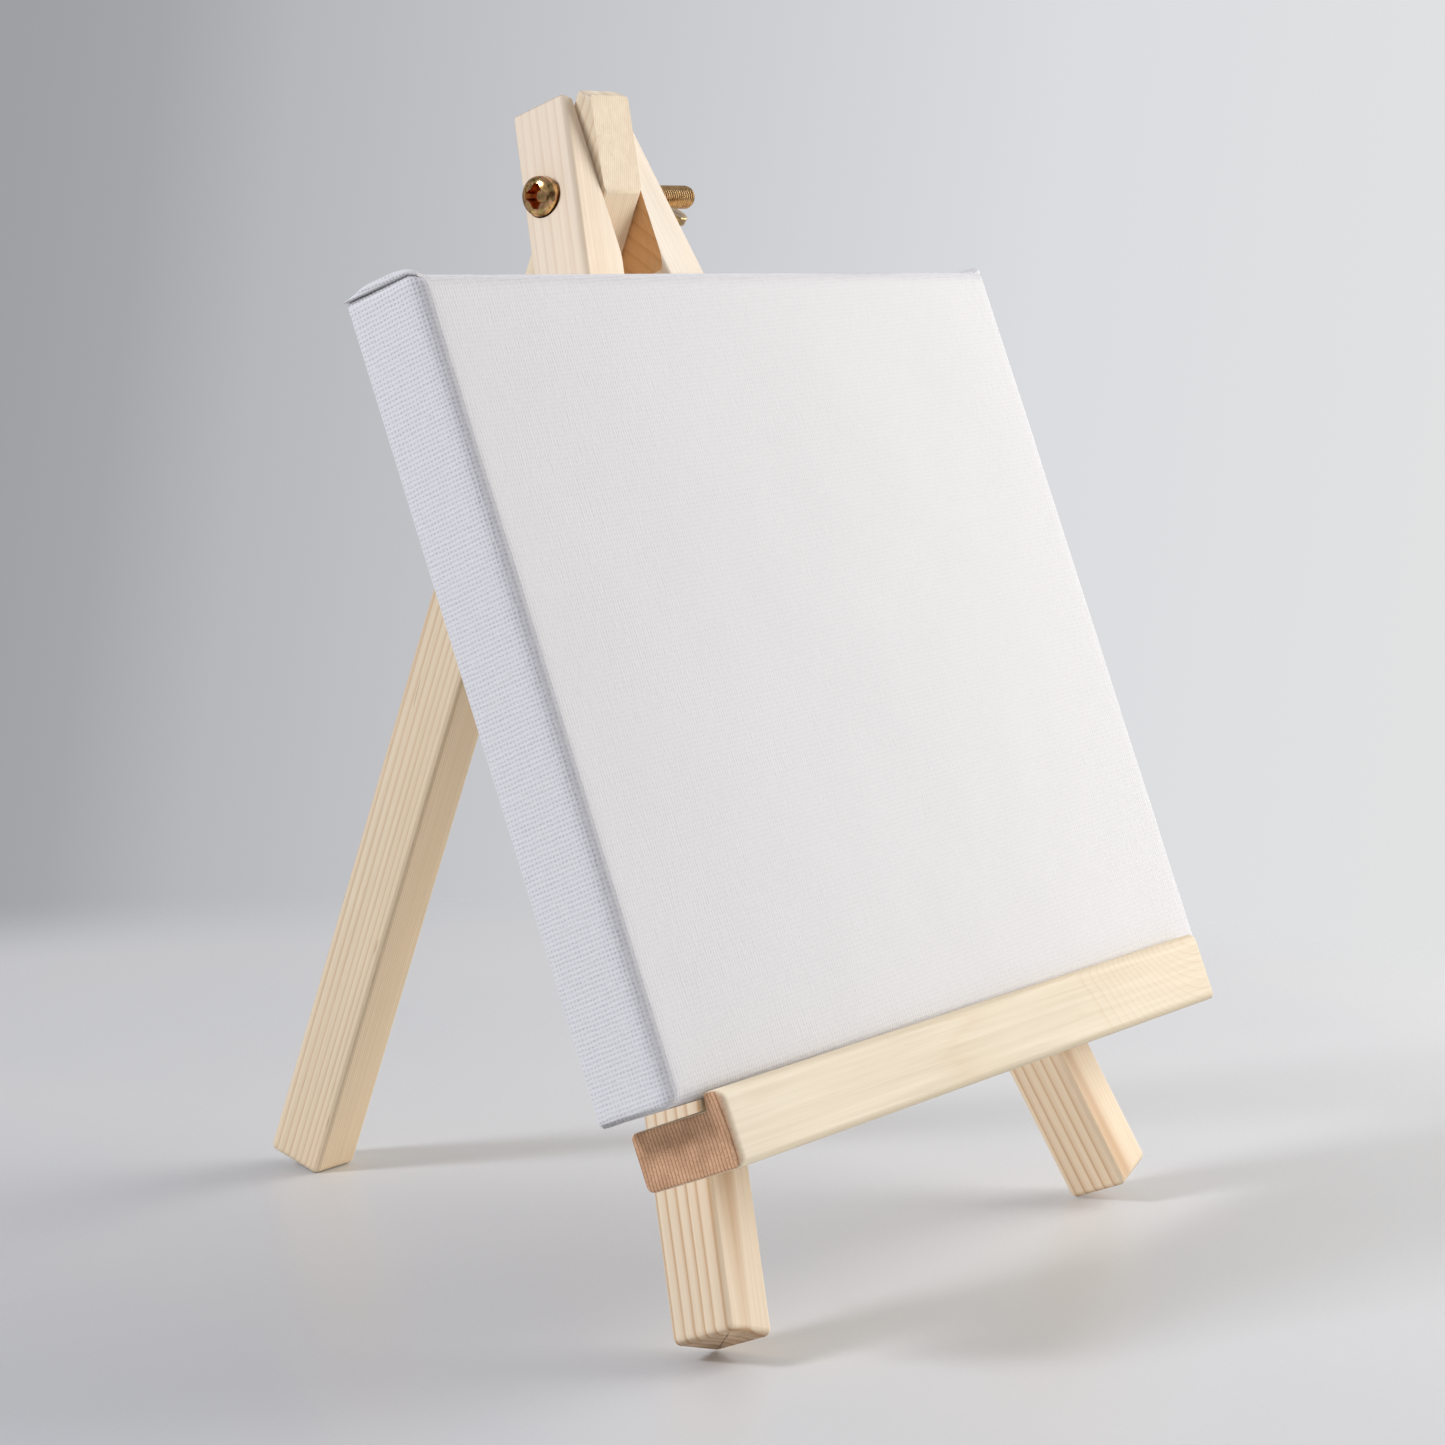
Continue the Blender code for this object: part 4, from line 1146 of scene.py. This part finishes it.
def easel():
    left_axes, right_axes = front_leg_axes(LEFT), front_leg_axes(RIGHT)
    # On the legs, `fade` and `pale` weaken the lines towards the top and turn the wood paler and
    # pinker there: partly the boards' own grain and tone, partly painted cool light on the tops.
    left_pine = pine(
        "pine_left_leg", left_axes, (3.0 * MM, -46.0 * MM), 2.2 * MM, 1.0,
        tilt=(0.006, 0.0), contrast=0.95, fade=(0.06, 0.18, 1.0, 0.22),
        early=(0.92, 0.77, 0.575),
    )
    # The right leg's paler early wood is partly painted bounce light on its inner side.
    right_pine = pine(
        "pine_right_leg", right_axes, (-9.0 * MM, 52.0 * MM), 2.4 * MM, 2.0,
        tilt=(-0.006, 0.0), contrast=0.9, fade=(0.06, 0.18, 1.0, 0.25),
        early=(0.95, 0.80, 0.61),
    )
    rear_pine = pine(
        "pine_rear_leg", REAR_AXES, (-60.0 * MM, -22.0 * MM), 0.62 * MM, 3.0,
        tilt=(0.002, 0.003), contrast=0.58, wander=0.0002, uneven=0.35, fleck=0.4,
        early=(0.93, 0.78, 0.57), end_light=(0.90, 0.80, 0.64), end_dark=(0.80, 0.64, 0.44),
    )
    ledge_grain = FRAME_AXES @ Matrix.Translation((0, LEDGE_BOTTOM, 0))
    ledge_grain @= Matrix.Rotation(-math.pi / 2.0, 4, "Z")
    ledge_pine = pine(
        "pine_ledge", ledge_grain, (-6.0 * MM, -70.0 * MM), 0.72 * MM, 4.0,
        tilt=(0.010, 0.0), contrast=0.30, early=(0.86, 0.745, 0.56), late=(0.72, 0.52, 0.26),
        end_light=(0.80, 0.51, 0.31), end_dark=(0.36, 0.13, 0.045), wander=0.0003,
        uneven=0.4, fleck=0.0,
        whorl=((-30.0 * MM, 92.0 * MM, 20.0 * MM), 62.0 * MM, 17.0 * MM),
        fade=(-0.09, 0.02, 0.35, 1.0), pale=(0.98, 0.86, 0.66), end_from=0.10,
    )
    # Deep orange for the sawn inner faces at the legs' tops: partly the sawn wood's own tone,
    # partly painted warm light bounced between the legs.
    sawn_pine_and_bounce = pine(
        "pine_sawn", right_axes, (-9.0 * MM, 52.0 * MM), 2.6 * MM, 2.0,
        tilt=(-0.40, 0.1), contrast=0.55, early=(0.86, 0.52, 0.24), late=(0.62, 0.30, 0.09),
    )
    front_leg("left_leg_wood", LEFT, "left_front_leg", left_pine, sawn_pine_and_bounce)
    front_leg("right_leg_wood", RIGHT, "right_front_leg", right_pine, sawn_pine_and_bounce)
    rear_leg(rear_pine)
    ledge(ledge_pine)


def hardware():
    # The bolt's tones: the yellow-zinc film's tints, and in the darkest browns, painted dark
    # reflections of the head's surroundings.
    bronze = plated("yellow_zinc_bolt", (
        (0.14, 0.06, 0.02), (0.50, 0.26, 0.08), (0.86, 0.58, 0.24), (0.64, 0.32, 0.19),
        (0.46, 0.34, 0.12), (0.20, 0.09, 0.04),
    ), 0.14, 0.25)
    amber = plated("yellow_zinc_recess", (
        (0.26, 0.06, 0.02), (0.62, 0.22, 0.05), (0.36, 0.10, 0.03),
    ), 0.25, 0.2)
    brass = plated("yellow_zinc_thread", (
        (0.50, 0.27, 0.10), (0.70, 0.45, 0.20), (0.56, 0.30, 0.14),
    ), 0.20, 0.0, grooves=(BOLT_AXES, BOLT_ROOT_R, BOLT_R - 0.1 * MM))
    dull = plated("yellow_zinc_nut", (
        (0.26, 0.16, 0.08), (0.54, 0.38, 0.19), (0.40, 0.27, 0.14),
    ), 0.28, 0.5)
    pivot_bolt(bronze, amber, brass)
    washer(dull)
    wing_nut(dull)
    ledge_screw("ledge_screw_left_head", LEFT, "ledge_screw_left", dull)
    ledge_screw("ledge_screw_right_head", RIGHT, "ledge_screw_right", dull)


def canvas():
    primed = primed_cotton(
        "primed_cotton", (0.895, 0.885, 0.885), (0.60, 0.585, 0.64), 0.14 * MM, 0.60
    )
    raw = primed_cotton("raw_cotton", (0.74, 0.69, 0.58), (0.55, 0.49, 0.38), 0.20 * MM, 0.1)
    cloth = canvas_cloth(primed, raw)
    folds = [
        corner_fold("fold_left", LEFT, (primed, raw)),
        corner_fold("fold_right", RIGHT, (primed, raw)),
    ]
    join(cloth, folds)
    cloth.data.transform(CANVAS_AXES)
    cloth.data.update()
    cloth.data.shade_smooth()
    cloth.data.set_sharp_from_angle(angle=math.radians(60.0))
    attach(cloth, "canvas")
    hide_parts("canvas_cloth")
    bars = ["top_bar", "bottom_bar", "left_bar", "right_bar"]
    for index, name in enumerate(bars):
        turn = 0.0 if name in ("left_bar", "right_bar") else math.pi / 2.0
        grain = CANVAS_AXES @ Matrix.Rotation(turn, 4, "Z")
        dress(name, pine(
            f"pine_{name}", grain, ((20.0 + 9.0 * index) * MM, (-28.0 + 13.0 * index) * MM),
            (1.9 + 0.3 * index) * MM, 5.0 + index, tilt=(0.006, 0.004), contrast=0.6,
            early=(0.80, 0.64, 0.44),
        ), "eased", 0.35 * MM, 2)
    steel = plated("staple_steel", (
        (0.42, 0.42, 0.45), (0.64, 0.64, 0.66), (0.50, 0.50, 0.53),
    ), 0.28, 0.3)
    for name in frame["nodes"]:
        if name.startswith("staple_"):
            dress(name, steel, "rolled", 0.16 * MM, 3)


camera()
room()
floor()
softbox("key", (-0.745, 0.396, 0.537), 1.4, 0.28, 10.2, (0.895, 0.915, 1.0))
softbox("front", (0.78, -0.52, 0.36), 0.95, 0.75, 8.6, (1.0, 0.975, 0.94))
easel()
hardware()
canvas()

scene = bpy.context.scene
scene.view_settings.view_transform = "Standard"
scene.view_settings.look = "None"
